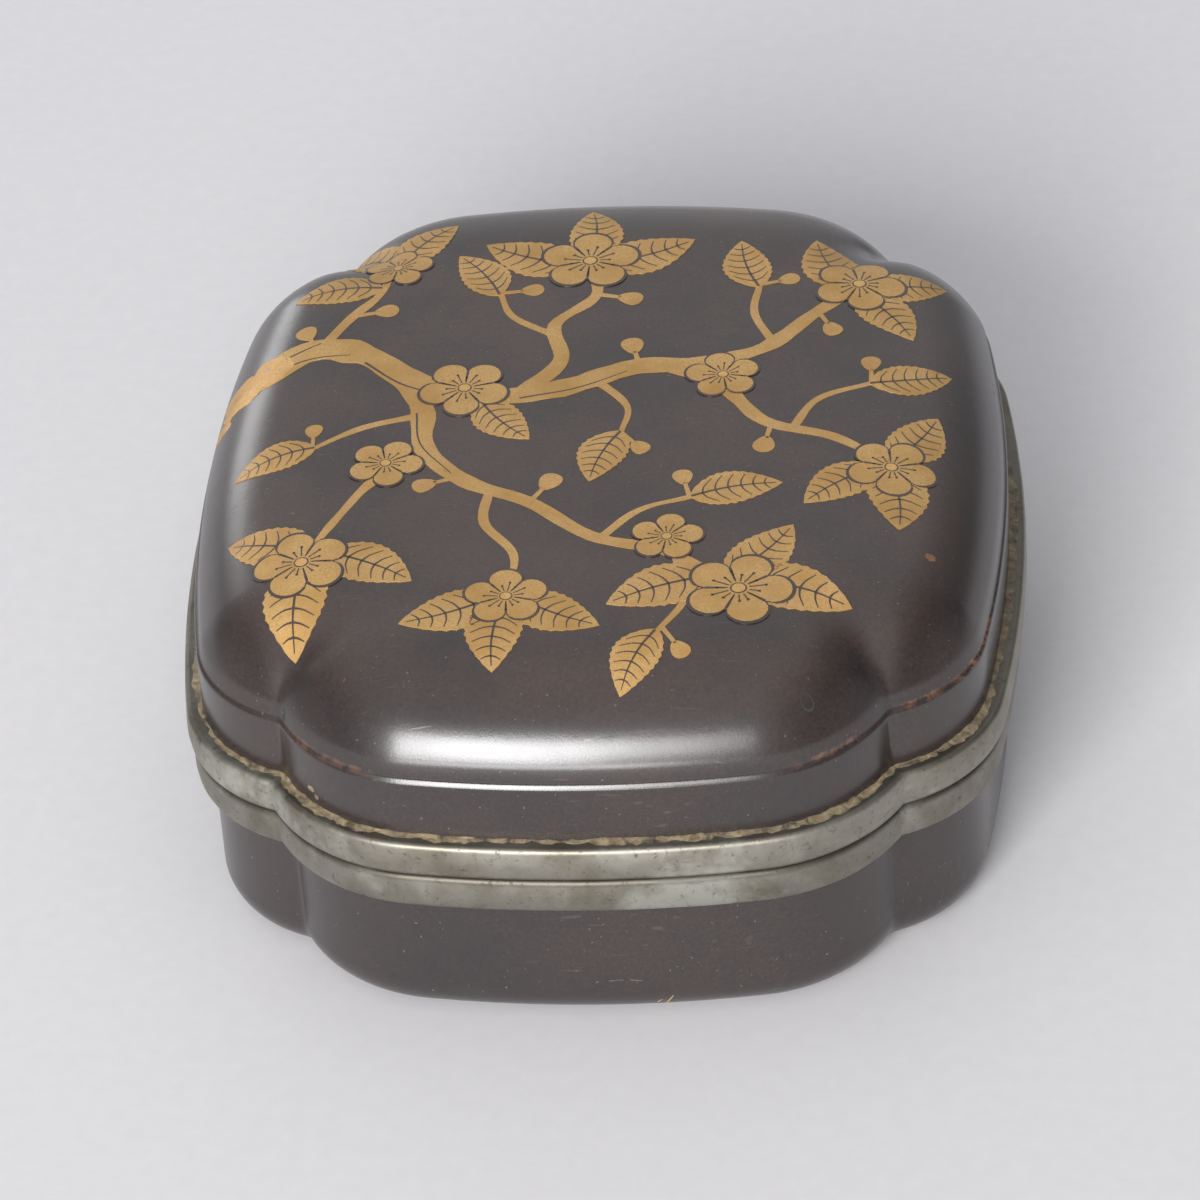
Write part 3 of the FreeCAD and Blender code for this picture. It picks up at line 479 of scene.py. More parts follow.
# Name, light and dark colour, scale of the grain and how it is stretched, roughness, bump, metallic
even, alongHair = (1, 1, 1), (1, 0.02, 1)
paste = makeGrained("old_paste", (0.36, 0.28, 0.165), (0.06, 0.045, 0.03), 620, even, 0.55, 0.5)
chipped = makeGrained("chipped_ground", (0.3, 0.14, 0.082), (0.15, 0.075, 0.045), 900, even, 0.55, 0.3)
scuff = makeGrained("dull_scuff", (0.19, 0.17, 0.15), (0.09, 0.08, 0.07), 900, even, 0.6, 0.3)
slate = makeGrained("slate", (0.043, 0.043, 0.046), (0.022, 0.022, 0.024), 240, (1, 0.35, 1), 0.62, 0.25)
agedCopper = makeGrained("aged_copper", (0.36, 0.19, 0.1), (0.16, 0.085, 0.05), 300, even, 0.36, 0.18, 0.9)
bamboo = makeGrained("bamboo", (0.58, 0.4, 0.19), (0.42, 0.26, 0.11), 420, (1, 0.05, 1), 0.38, 0.12)
horn = makeGrained("horn", (0.05, 0.04, 0.034), (0.016, 0.012, 0.01), 260, (1, 0.2, 1), 0.22, 0.06, coat=0.4)
paleHair = makeGrained("pale_hair", (0.6, 0.5, 0.37), (0.33, 0.24, 0.15), 1400, alongHair, 0.62, 0.6)
brownHair = makeGrained("brown_hair", (0.23, 0.14, 0.08), (0.09, 0.05, 0.03), 1400, alongHair, 0.62, 0.6)
restWood = makeGrained("rest_wood", (0.3, 0.17, 0.085), (0.15, 0.075, 0.035), 330, (0.12, 1, 1), 0.46, 0.2)
inkSoot = makeGrained("ink_soot", (0.026, 0.026, 0.029), (0.012, 0.012, 0.014), 500, (1, 0.4, 1), 0.42, 0.14)
knifeRed = makeGrained(
    "grip_lacquer", (0.115, 0.03, 0.018), (0.05, 0.012, 0.008), 160, (1, 0.25, 1), 0.27, 0.04)
brass = makeGrained("collar_brass", (0.62, 0.42, 0.17), (0.38, 0.23, 0.08), 500, (1, 1, 0.2), 0.28, 0.08, 1)
steel = makeGrained("blade_steel", (0.55, 0.55, 0.54), (0.3, 0.29, 0.28), 700, (0.08, 1, 1), 0.3, 0.1, 1)
print("materials made")


# The lid: a wall up to a crisp arris, a round shoulder, an easing curve and a faint crown

lid = {
    "edge": 23.5, "capHeight": 1, "rebate": 0.8, "rimHeight": 5, "wall": 2.4, "arris": 36.6,
    "setIn": 0.5, "shoulder": 14, "easingSlope": 16, "flatStart": 17, "crownSlope": 1.6, "crownHalf": 37,
    "shoulderSteps": 15, "easingSteps": 7, "crownSteps": 9,
    # The front arris stands a little proud, with a narrow tilted face that ends in soft corners
    "ledge": 0.46, "ledgeFace": 0.5, "ledgeTilt": 32.5, "ledgeSoft": 0.1, "ledgeStart": 47.5, "ledgeEase": 6,
    "faceLean": 0.4, "faceEnd": 1.3, "behindLedge": 0.03,
    # Elsewhere it is a soft edge: shares of the ledge, in from the wall and up from the arris
    "softEdge": ((0, -1), (0.05, -0.72), (0.2, -0.44), (0.45, -0.16), (0.8, 0.12), (0.93, 0.36), (1.1, 0.7)),
    "domeFrom": 1.3,
    # The valleys that run in from the notches
    "pinchBelow": 0.2, "pinchStart": 0.6, "pinchEase": 4, "pinchEnd": 19, "pinchWidth": 4.2,
    "pinchDepth": 0.95, "pinchSpread": 0.55, "pinchOpening": 0.06,
}


def domeRun(depth):
    # Pairs of distance in and level along the dome, moved in by a depth
    shoulder, setIn = lid["shoulder"], lid["setIn"]
    slope, endSlope = math.radians(lid["easingSlope"]), math.radians(lid["crownSlope"])
    centreIn = shoulder - setIn
    centreLevel = lid["arris"] - math.sqrt(shoulder ** 2 - centreIn ** 2)
    slopeFall = math.sin(slope) - math.sin(endSlope)
    easing = (lid["flatStart"] - centreIn + shoulder * math.sin(slope)) / slopeFall
    lowIn = centreIn + (easing - shoulder) * math.sin(slope)
    lowLevel = centreLevel - (easing - shoulder) * math.cos(slope)
    tight, wide = shoulder - depth, easing - depth
    steepest = math.asin((centreIn - depth) / tight)
    run = []
    for k in range(lid["shoulderSteps"]):
        a = steepest + (slope - steepest) * k / lid["shoulderSteps"]
        run.append((centreIn - tight * math.sin(a), centreLevel + tight * math.cos(a)))
    for k in range(lid["easingSteps"] + 1):
        a = slope + (endSlope - slope) * k / lid["easingSteps"]
        run.append((lowIn - wide * math.sin(a), lowLevel + wide * math.cos(a)))
    return run


def crownRings(ring, rise):
    # The last ring drawn in to the middle, rising on a parabola
    steps = lid["crownSteps"]
    rings = []
    for k in range(1, steps):
        share = 1 - k / steps
        lift = Vector((0, 0, rise * (1 - share ** 2)))
        rings.append([Vector((p.x * share, p.y * share, p.z)) + lift for p in ring])
    return rings


outerDome = domeRun(0)
innerDome = domeRun(lid["wall"])
crownRise = math.tan(math.radians(lid["crownSlope"])) * lid["crownHalf"] * mm / 2
ledge, soft = lid["ledge"], lid["ledgeSoft"]
faceIn = lid["ledgeFace"] * math.sin(math.radians(lid["ledgeTilt"]))
faceUp = lid["ledgeFace"] * math.cos(math.radians(lid["ledgeTilt"]))
lean, faceEnd = lid["faceLean"] * soft, lid["faceEnd"] * soft + faceIn
rimTop = lid["edge"] + lid["rimHeight"]
wallRun = [
    (lid["rebate"], lid["edge"] + lid["capHeight"]), (lid["rebate"], rimTop),
    (0, rimTop), (0, rimTop + ledge), (0, lid["arris"] - 2 * ledge),
]
ledgeRun = [(inward, lid["arris"] + up) for inward, up in (
    (0, -faceUp - 2 * soft), (lean, -faceUp - soft), (lean + faceIn / 2, -faceUp / 2 - soft),
    (lean + faceIn, -soft), (faceEnd, 0), (ledge, lid["behindLedge"]), (1.1 * ledge, 0.5 * ledge))]
softRun = [(inward * ledge, lid["arris"] + up * ledge) for inward, up in lid["softEdge"]]
domeTail = [pair for pair in outerDome if pair[0] > lid["domeFrom"] * ledge]
lidSection = wallRun + ledgeRun + domeTail
plainSection = wallRun + softRun + domeTail


def ledgeShare(place):
    # 1 along the front lobe, easing to 0 before the front notches
    share = held((-place.y / mm - lid["ledgeStart"]) / lid["ledgeEase"])
    return share * share * (3 - 2 * share)


def pinched(place):
    # Lowers the dome along the valley that runs in from each notch
    notch = Vector(outline["notch"])
    along = (-notch).normalized()
    out = Vector((abs(place.x), abs(place.y))) / mm - notch
    inward = out.dot(along)
    aside = (out - along * inward).length
    share = held((inward - lid["pinchStart"]) / lid["pinchEase"])
    fade = held((lid["pinchEnd"] - inward) / (lid["pinchEnd"] - lid["pinchStart"] - lid["pinchEase"]))
    spread = lid["pinchWidth"] * (lid["pinchSpread"] + lid["pinchOpening"] * max(inward, 0))
    depth = lid["pinchDepth"] * share * fade * fade * math.exp(-(aside / spread) ** 2)
    return place - Vector((0, 0, depth * mm))


outerRings = []
for (ledgeIn, ledgeLevel), (plainIn, plainLevel) in zip(lidSection, plainSection):
    pairs = zip(lobedRing(-plainIn, plainLevel), lobedRing(-ledgeIn, ledgeLevel))
    ring = [plain.lerp(stepped, ledgeShare(stepped)) for plain, stepped in pairs]
    onDome = plainLevel > lid["arris"] - lid["pinchBelow"] * ledge
    outerRings.append([pinched(place) for place in ring] if onDome else ring)
lidInside = [(lid["wall"], lid["edge"] + lid["capHeight"])] + innerDome
outerRings += crownRings(outerRings[-1], crownRise)
innerRings = [lobedRing(-inward, level) for inward, level in lidInside]
innerRings += crownRings(innerRings[-1], crownRise)
lidShell = ringPiece("lacquered_lid", outerRings[::-1] + innerRings, closeStart=True, closeEnd=True)
smoothBy(lidShell, 35)
finishPiece(lidShell, "lid", lidLacquer, ["lid_shell"])
print("lid made")


# The rims: half round beads with hand-worn dents, capping the edges of lid and base

rim = {
    "proud": 2.1, "topRound": 0.72, "lowRound": 1.15, "bulge": 0.12, "flat": 0.38, "roundSteps": 6,
    "dent": 0.07, "dentScale": 95, "fineDent": 0.5, "fineDentScale": 285,
}


def quarterTurns():
    return [math.pi / 2 * k / rim["roundSteps"] for k in range(rim["roundSteps"] + 1)]


def beadSection(wallOffset, innerOffset, low, high, lowRound, highRound):
    # From the inner edge under the wall, round the outside, and back to the wall above it
    out = wallOffset + rim["proud"]
    edge = out - rim["bulge"]
    section = [(innerOffset, low), ((innerOffset + edge - lowRound) / 2, low)]
    section += [(edge - lowRound + lowRound * math.sin(a), low + lowRound - lowRound * math.cos(a))
                for a in quarterTurns()]
    section += [(out, low * (1 - share) + high * share) for share in (rim["flat"], 1 - rim["flat"])]
    section += [(edge - highRound + highRound * math.cos(a), high - highRound + highRound * math.sin(a))
                for a in quarterTurns()]
    return section


def dented(piece):
    for vertex in piece.data.vertices:
        shift = noise.noise(vertex.co * rim["dentScale"])
        shift += rim["fineDent"] * noise.noise(vertex.co * rim["fineDentScale"])
        away = Vector((vertex.co.x, vertex.co.y, 0)).normalized()
        vertex.co += away * min(0, shift * rim["dent"]) * mm


def makeRim(body, material, wallOffset, innerOffset, low, wallAbove):
    high = low + lid["rimHeight"]
    rounds = (rim["lowRound"], rim["topRound"]) if wallAbove else (rim["topRound"], rim["lowRound"])
    section = beadSection(wallOffset, innerOffset, low, high, *rounds)
    rebate = wallOffset - lid["rebate"]
    capLevel = low + lid["capHeight"]
    section += [(rebate, high), (rebate, (high + capLevel) / 2), (rebate, capLevel), (innerOffset, capLevel)]
    if not wallAbove:
        section = [(offset, low + high - level) for offset, level in section]
    rings = [lobedRing(offset, level, sharp=True) for offset, level in section]
    piece = ringPiece(f"{body}_pewter_rim", rings, loop=True)
    dented(piece)
    smoothBy(piece)
    finishPiece(piece, body, material, [f"{body}_rim"])


makeRim("lid", lidPewter, 0, -lid["wall"], lid["edge"], True)
makeRim("base", basePewter, -0.5, -2.7, 18.4, False)


# The paste's section is in shares of its width and height, and its unevenness a mean and two noises
crust = {
    "section": ((-0.15, -0.15), (1, -0.12), (0.62, 0.22), (0.25, 0.55), (0, 1), (-0.15, 1)),
    "width": 1.35, "height": 0.44, "mean": 0.64, "coarse": 0.7, "coarseScale": 70, "fine": 0.7,
    "fineScale": 800, "least": 0.05, "most": 1.25, "seed": 0.4,
}


def makeCrust(name, level):
    # An uneven bead of old paste where the wall meets the top of its rim
    rings = []
    for across, up in crust["section"]:
        ring = lobedRing(max(across, 0) * crust["width"] + min(across, 0), level, sharp=True)
        wall = lobedRing(min(across, 0), level, sharp=True)
        for k, (place, inside) in enumerate(zip(ring, wall)):
            coarsePlace = Vector((inside.x, inside.y, crust["seed"])) * crust["coarseScale"]
            finePlace = Vector((inside.x, inside.y, across * 0.002)) * crust["fineScale"]
            rough = crust["mean"] + crust["coarse"] * noise.noise(coarsePlace)
            rough = held(rough + crust["fine"] * noise.noise(finePlace), crust["least"], crust["most"])
            lift = up * crust["height"] * (rough if up > 0 else 1)
            ring[k] = inside.lerp(place, rough) + Vector((0, 0, lift)) * mm
        rings.append(ring)
    piece = ringPiece(name, rings, loop=True)
    smoothBy(piece, 50)
    finishPiece(piece, "lid", paste)


makeCrust("lid_rim_paste", rimTop)
print("rims made")


# The gold bough: an open spray of blossoms and pointed leaves, drawn in plan in millimetres,
# dropped onto the dome and raised as thin sprinkled gold, each layer at a height of its own.

goldHeights = {
    "twigs": 0.05, "limbs": 0.062, "trunk": 0.075, "barkLines": 0.095, "foot": 0.1, "chips": 0.03,
    "buds": 0.085, "leaves": 0.1, "leafLines": 0.122,
    "blossomShadow": 0.142, "blossoms": 0.168, "blossomLines": 0.188, "hearts": 0.205,
}


def flat(points):
    return [Vector((x, y, 0)) * mm for x, y in points]


def filledShape(name, edge, middle, rings):
    # A flat shape of rings drawn in from its edge to a middle
    middle = Vector(middle)
    loops = []
    for k in range(rings):
        share = 1 - k / rings
        loops.append(flat([middle + (Vector(p) - middle) * share for p in edge]))
    return ringPiece(name, loops, closeEnd=True)


def smoothRun(points, steps=7):
    # A Catmull-Rom curve through the points
    points = [Vector(p) for p in points]
    ends = [points[0] * 2 - points[1]] + points + [points[-1] * 2 - points[-2]]
    run = []
    for a, b, c, d in zip(ends, ends[1:], ends[2:], ends[3:]):
        for k in range(steps):
            t = k / steps
            bend, turn = 2 * a - 5 * b + 4 * c - d, 3 * b - a - 3 * c + d
            run.append(0.5 * (2 * b + (c - a) * t + bend * (t * t) + turn * t ** 3))
    return run + [points[-1]]


def strokePiece(points, startWidth, endWidth, across=2, wobble=0):
    # A brush stroke along the points, its width easing from one end to the other
    run = smoothRun(points)
    places = []
    for number, p in enumerate(run):
        before, after = run[max(number - 1, 0)], run[min(number + 1, len(run) - 1)]
        along = (after - before).normalized()
        side = Vector((along.y, -along.x))
        share = number / (len(run) - 1)
        half = (startWidth + (endWidth - startWidth) * share) / 2
        half *= 1 + wobble * noise.noise(Vector((p.x, p.y, 3)) * 0.3)
        for k in range(across):
            places.append(p + side * half * (2 * k / (across - 1) - 1))
    return stripPiece("stroke", flat(places), across)


leaf = {
    "length": 10, "width": 0.55, "bend": 0.22, "steps": 22, "rings": 6, "teeth": 0.035, "fullness": 0.82,
    "roundness": 0.86, "line": 0.25, "veins": (0.14, 0.28, 0.42, 0.56, 0.69, 0.81), "veinRise": 0.15,
    "veinReach": 0.8,
}


def leafHalf(share):
    # Half the width of a leaf at a share of its length, before its width is set
    return 0.5 * math.sin(math.pi * share ** leaf["fullness"]) ** leaf["roundness"]


def bentLeaf(points, side):
    # x in widths and y in lengths, bent to one side
    return [((x * leaf["width"] + side * leaf["bend"] * (y - y * y)) * leaf["length"], y * leaf["length"])
            for x, y in points]


def leafPiece(side):
    right = []
    for k in range(leaf["steps"] + 1):
        share = k / leaf["steps"]
        right.append((leafHalf(share) * (1 + leaf["teeth"] * math.cos(math.pi * k)), share))
    edge = right + [(-x, y) for x, y in right[-2:0:-1]]
    return filledShape("leaf", bentLeaf(edge, side), bentLeaf([(0, 0.46)], side)[0], leaf["rings"])


def leafLines(side):
    midrib = bentLeaf([(0, 0.02), (0, 0.32), (0, 0.64), (0, 0.93)], side)
    strokes = [strokePiece(midrib, leaf["line"] * 1.3, leaf["line"] * 0.4)]
    for root in leaf["veins"]:
        tip = root + leaf["veinRise"] * (1.1 - root)
        reach = leafHalf(tip) * leaf["veinReach"]
        for across in (1, -1):
            vein = [(0, root), (across * reach * 0.5, root + (tip - root) * 0.3), (across * reach, tip)]
            strokes.append(strokePiece(bentLeaf(vein, side), leaf["line"] * 0.8, leaf["line"] * 0.35))
    return joinPieces(strokes, "lines_of_one_leaf")


blossom = {
    "radius": 5, "petals": 5, "petalSteps": 12, "rings": 6, "cusp": 0.6, "roundness": 0.62, "heart": 0.13,
    "shadow": 0.36, "line": 0.26, "heartLine": 0.16,
    "stamens": 15, "stamenFrom": 0.2, "stamenTo": (0.4, 0.52),
}


def spoke(turn, *shares):
    # Points along a line out from the middle of a blossom, at shares of its radius
    return [outward(turn) * blossom["radius"] * share for share in shares]


def blossomPiece(spread=0):
    count = blossom["petals"] * blossom["petalSteps"]
    edge = []
    for k in range(count):
        a = math.tau * k / count
        petal = abs(math.cos(blossom["petals"] / 2 * a)) ** blossom["roundness"]
        reach = blossom["radius"] * (blossom["cusp"] + (1 - blossom["cusp"]) * petal) + spread
        edge.append(reach * outward(a))
    return filledShape("blossom", edge, (0, 0), blossom["rings"])


def blossomLines():
    # Dark lines between the petals, and stamens with a dot at each end
    strokes = [roundDot((0, 0), blossom["radius"] * blossom["heart"] + blossom["heartLine"], 14)]
    line = blossom["line"]
    for k in range(blossom["petals"]):
        turn = math.tau * (k + 0.5) / blossom["petals"]
        strokes.append(strokePiece(spoke(turn, 0.24, 0.42, blossom["cusp"] + 0.03), line * 0.6, line * 1.2))
    for k in range(blossom["stamens"]):
        turn = math.tau * (k + 0.5) / blossom["stamens"]
        reach = blossom["stamenTo"][k % 2]
        places = spoke(turn, blossom["stamenFrom"], reach * 0.8, reach)
        strokes += [strokePiece(places, line * 0.5, line * 0.6), roundDot(places[-1], line * 0.62)]
    return joinPieces(strokes, "lines_of_one_blossom")


def roundDot(place, radius, count=10):
    edge = [Vector(place) + radius * outward(math.tau * k / count) for k in range(count)]
    return filledShape("dot", edge, place, 2)


budSize = {"length": 3, "stalk": 2.6, "stalkWidth": 0.66, "width": 0.4, "tipFuller": 0.3, "steps": 20}


def budPiece():
    # A closed bud, fuller towards its tip, standing on a short stalk
    length, stalk = budSize["length"], budSize["stalk"]
    edge = []
    for k in range(budSize["steps"]):
        a = math.tau * k / budSize["steps"]
        half = budSize["width"] * math.sin(a) * (1 - budSize["tipFuller"] * math.cos(a))
        edge.append((half * length, stalk + (0.5 - 0.5 * math.cos(a)) * length))
    stroke = strokePiece([(0, -0.4), (0, stalk / 2), (0, stalk + 0.4)], budSize["stalkWidth"], 0.5)
    return joinPieces([filledShape("bud", edge, (0, stalk + 0.55 * length), 3), stroke], "bud")


def copyShape(pattern, place, angle, size):
    # A copy with its own mesh, pointing at an angle in degrees from its place
    copy = pattern.copy()
    copy.data = pattern.data.copy()
    bpy.context.scene.collection.objects.link(copy)
    turn = Matrix.Rotation(math.radians(angle - 90), 4, "Z")
    move = Matrix.Translation(Vector((place[0], place[1], 0)) * mm)
    copy.data.transform(move @ turn @ Matrix.Diagonal((size, size, 1, 1)))
    return copy


# The bough comes in over the left shoulder, forks into limbs, and the limbs into twigs:
# listed points, start width and end width
trunk = [
    ([(-48.2, 13), (-43, 14), (-37, 17), (-30, 15), (-23, 8.5), (-14, 5.2), (-5, 6.6), (4, 11),
      (12, 11.6), (20, 15), (26, 22.5), (31, 28)], 5.6, 1.5),
]
limbs = [
    ([(-25.5, 11), (-22, 3), (-21, -5.5), (-15.5, -12.5), (-7.5, -17), (0.5, -24), (9, -27),
      (17, -32.5)], 3.2, 1.2),
    ([(-10, 5.4), (-5.4, 12.5), (-6.6, 20.5), (-1.8, 27), (-3, 34)], 2.5, 1.1),
    ([(8, 11.4), (15, 6.6), (20.5, -0.8), (29, -4), (36, -9.5)], 2.4, 1),
    ([(-36, 17), (-32.6, 23.5), (-29.4, 28.5), (-28, 35.5)], 1.7, 0.8),
]
twigs = [
    ([(-20, -7), (-26.5, -11.5), (-30.5, -19), (-33.5, -26)], 1.8, 0.8),
    ([(-12.4, -14.4), (-12.6, -21), (-8.6, -27.5), (-9, -35)], 1.4, 0.8),
    ([(1.6, -24.4), (6, -19), (12, -16.4)], 1.2, 0.7),
    ([(24, -2.2), (27, 4), (33.5, 7.4)], 1.2, 0.7),
    ([(11, -28.4), (12.4, -36), (9, -43)], 1.2, 0.7),
    ([(-22, 1.6), (-29, -0.6), (-35, -4.6)], 1.1, 0.7),
    ([(-1, 8.6), (3.4, 2.6), (3, -3)], 1.2, 0.7),
    ([(-6.2, 18), (-12, 22.6), (-14, 28)], 1.1, 0.7),
    ([(21, 16), (18.4, 22.6), (18.8, 29)], 1.1, 0.7),
]

# Leaves: base, the way they point in degrees, length, and the side they bend to
leaves = [
    ((16, -32), -158, 14, 1), ((17.5, -33), -14, 15, -1), ((17, -32), 52, 12.5, 1),
    ((-32.5, -25), 158, 12.5, -1), ((-33.5, -27.5), -92, 14, 1), ((-32, -26), -28, 13, -1),
    ((35.5, -9), -82, 13.5, -1), ((36, -9), 62, 12, 1), ((35, -10), -140, 12, 1),
    ((30.5, 28), 112, 13, -1), ((31.5, 28), 20, 11.5, 1), ((31, 27), -52, 12, -1),
    ((-2.6, 34), 24, 14, 1), ((-3.6, 34), 158, 14, -1), ((-3, 35.5), 92, 12.5, 1),
    ((-28, 34.5), 128, 13, 1), ((-28, 35.5), 52, 12, -1), ((-29, 30), -178, 11.5, 1),
    ((-9.6, -35), -156, 13, -1), ((-9, -36), -94, 12.5, 1), ((-8.4, -35), -30, 12.5, 1),
    ((12, -16.4), 14, 11.5, -1), ((9.2, -42), -112, 10.5, 1), ((33, 7.2), 22, 11, 1),
    ((-34.5, -4.4), -164, 10.5, 1), ((3, -2.6), -108, 11, 1), ((-14, 27.5), 122, 11, 1),
    ((18.8, 28.5), 104, 11, -1), ((-15, 4.6), -52, 11, 1),
]

# Blossoms: place, turn in degrees and radius
blossoms = [
    ((18.6, -34.6), 17, 6.4), ((-34.2, -27.8), 52, 5.8), ((36.2, -10.2), 6, 5.4), ((31.4, 29), 86, 5.7),
    ((-3, 35), 34, 6.2), ((-17, 7), 69, 5.6), ((9.6, -24.4), 29, 4.4), ((-25.6, -8.4), 11, 4.6),
    ((15, 9), 46, 4.6), ((-27.6, 35), 29, 4.4), ((-9, -35.6), 40, 5),
]

# Buds: where the stalk starts, the way it points in degrees, and a share of the usual size
buds = [
    ((12, -16.4), 104, 1), ((10, -42), -58, 0.95), ((33.4, 7.4), 92, 1), ((-35, -4.6), 92, 0.9),
    ((3, -3), -52, 0.95), ((-14, 28), 8, 1), ((18.8, 29), 20, 0.95), ((-7.4, -17.2), 62, 1.15),
    ((21.4, -1.2), -100, 1.1), ((-32.4, 23.8), 12, 1.05), ((-16.4, -11.6), -160, 1.05),
    ((4.6, 11), 104, 1.15), ((26.4, 22.8), -64, 1), ((-1.8, 27.4), -14, 1.1), ((-36.4, 17), 112, 1.1),
]

# Dark brush lines along the bark, and the ragged bright patches at the foot: place, radius and seed
barkLines = [
    ([(-46, 14.6), (-41, 16.2), (-36, 18.4)], 0.4, 0.15),
    ([(-44, 12.6), (-38, 15), (-32, 15.2)], 0.3, 0.12),
    ([(-30, 13.4), (-25, 8.4), (-19, 5.4)], 0.35, 0.12),
    ([(-22.6, 2), (-21.6, -4.6), (-17.4, -10.8)], 0.25, 0.1),
    ([(-10, 4.6), (-3, 6.6), (3, 10)], 0.25, 0.1),
]
footPatches = [((-45.6, 13.4), 3.1, 1.3), ((-42.2, 14.6), 2.9, 2.9), ((-48.2, 9.2), 1.3, 4.4)]
chips = [((41.1, -26), 0.6, 7.1)]
# A small dent shown only by a dull grey ring: painted highlight where its rim catches the light
dentHighlight = {"place": (27, -50.3), "radius": 0.72, "width": 0.17, "sides": 16}
ragged = {"sides": 28, "depth": 0.35, "scale": 1.7, "rings": 4}


def strokePieces(strokes, across=2, wobble=0):
    return [strokePiece(points, first, last, across, wobble) for points, first, last in strokes]


def raggedPatch(place, radius, seed):
    edge = []
    for k in range(ragged["sides"]):
        out = outward(math.tau * k / ragged["sides"])
        uneven = 1 + ragged["depth"] * noise.noise(Vector((out.x, out.y, seed)) * ragged["scale"])
        edge.append(Vector(place) + out * radius * uneven)
    return filledShape("patch", edge, place, ragged["rings"])


def raggedPatches(spots):
    return [raggedPatch(*spot) for spot in spots]


# Millimetres: where a layer starts from, and how far it is rooted in the lacquer
laying = {"above": 80, "before": 90, "rooted": 0.03, "merge": 0.0005}


def layDown(parts, name, target, start, direction, height):
    # Joins one layer, projects it onto its target and gives it its thickness down into the lacquer
    piece = joinPieces(parts, name)
    piece.data.transform(start)
    applyModifier(piece, "SHRINKWRAP", target=target, wrap_method="PROJECT", offset=height * mm, **direction)
    applyModifier(piece, "SOLIDIFY", thickness=(height + laying["rooted"]) * mm, offset=-1)
    tidyMesh(piece, laying["merge"] * mm)
    smoothBy(piece)
    return piece


def layOnLid(parts, name, layer, material):
    start = Matrix.Translation(Vector((0, 0, laying["above"])) * mm)
    down = {"use_project_z": True, "use_negative_direction": True, "use_positive_direction": False}
    piece = layDown(parts, name, lidShell, start, down, goldHeights[layer])
    finishPiece(piece, "lid", material)


def layOnWall(parts, name, body, target, height, material):
    # The same for marks drawn on a front wall, x across and y up, pushed back onto it
    start = Matrix.Translation(Vector((0, -laying["before"], 0)) * mm) @ Matrix.Rotation(math.pi / 2, 4, "X")
    back = {"use_project_y": True, "use_negative_direction": False, "use_positive_direction": True}
    finishPiece(layDown(parts, name, target, start, back, height), body, material)


def layCopies(pattern, spots, name, layer, material):
    # Copies one shape to every spot, lays them on the lid and removes the shape they were copied from
    layOnLid([copyShape(pattern, *spot) for spot in spots], name, layer, material)
    bpy.data.objects.remove(pattern)


# Small marks of use: a paste fleck on the lid's wall, a crack by the arris, scratches and gilt on the base
wallFleck = [((-32.4, 30.8), 0.42, 2.2), ((-31.7, 30), 0.3, 4.7)]
crack = [([(1, -55.6), (6.5, -54.9), (12, -54.5), (17, -54.3), (21, -54.5)], 0.16, 0.1),
         ([(17.5, -54.3), (19, -54.9), (20.6, -55.1)], 0.12, 0.08)]
giltStrokes = [([(8.6, 1.6), (9, 2.5), (9.6, 3.6)], 0.22, 0.1),
               ([(7.6, 2), (7.8, 2.4), (8.2, 2.8)], 0.16, 0.08)]
dustStrokes = [([(2, 6.4), (3, 6.5), (3.8, 6.5)], 0.14, 0.08),
               ([(4.6, 6.5), (5.4, 6.4), (6, 6.3)], 0.12, 0.08)]
baseShell = nodes["base_shell"]
layOnWall(raggedPatches(wallFleck), "wall_fleck", "lid", lidShell, 0.06, paste)
layOnWall(strokePieces(giltStrokes), "base_gilt_fleck", "base", baseShell, 0.03, brightGold)
layOnWall(strokePieces(dustStrokes), "base_scratch", "base", baseShell, 0.02, scuff)
layOnLid(strokePieces(crack), "lacquer_crack", "chips", baseLacquer)

for strokes, name in ((trunk, "trunk"), (limbs, "limbs"), (twigs, "twigs")):
    layOnLid(strokePieces(strokes, 5, 0.3), f"gold_{name}", name, bough)
layOnLid(strokePieces(barkLines), "bark_lines", "barkLines", lidLacquer)
layOnLid(raggedPatches(footPatches), "bright_gold_foot", "foot", brightGold)
layOnLid(raggedPatches(chips), "old_chips", "chips", chipped)
# Painted highlight: a thin dull grey ring laid where a small dent's rim would catch the light
turns = [math.tau * k / dentHighlight["sides"] for k in range(dentHighlight["sides"] + 1)]
dentHighlightRing = [Vector(dentHighlight["place"]) + outward(turn) * dentHighlight["radius"] for turn in turns]
dentHighlightStroke = (dentHighlightRing, dentHighlight["width"], dentHighlight["width"])
layOnLid(strokePieces([dentHighlightStroke]), "small_dent_painted_highlight", "chips", slate)
for side, word in ((1, "right"), (-1, "left")):
    spots = [(base, angle, length / leaf["length"]) for base, angle, length, bend in leaves if bend == side]
    layCopies(leafPiece(side), spots, f"gold_leaves_bent_{word}", "leaves", bough)
    layCopies(leafLines(side), spots, f"leaf_lines_bent_{word}", "leafLines", lidLacquer)
layCopies(budPiece(), buds, "gold_buds", "buds", bough)
spots = [(place, turn, radius / blossom["radius"]) for place, turn, radius in blossoms]
layCopies(blossomPiece(blossom["shadow"]), spots, "blossom_outlines", "blossomShadow", lidLacquer)
layCopies(blossomPiece(), spots, "gold_blossoms", "blossoms", bough)
layCopies(blossomLines(), spots, "blossom_lines", "blossomLines", lidLacquer)
heart = roundDot((0, 0), blossom["radius"] * blossom["heart"], 14)
layCopies(heart, spots, "gold_blossom_hearts", "hearts", brightGold)
print("gold laid on the lid")


# The brushes: turned shafts with bamboo joints, ridged tufts, horn sleeves and knobs

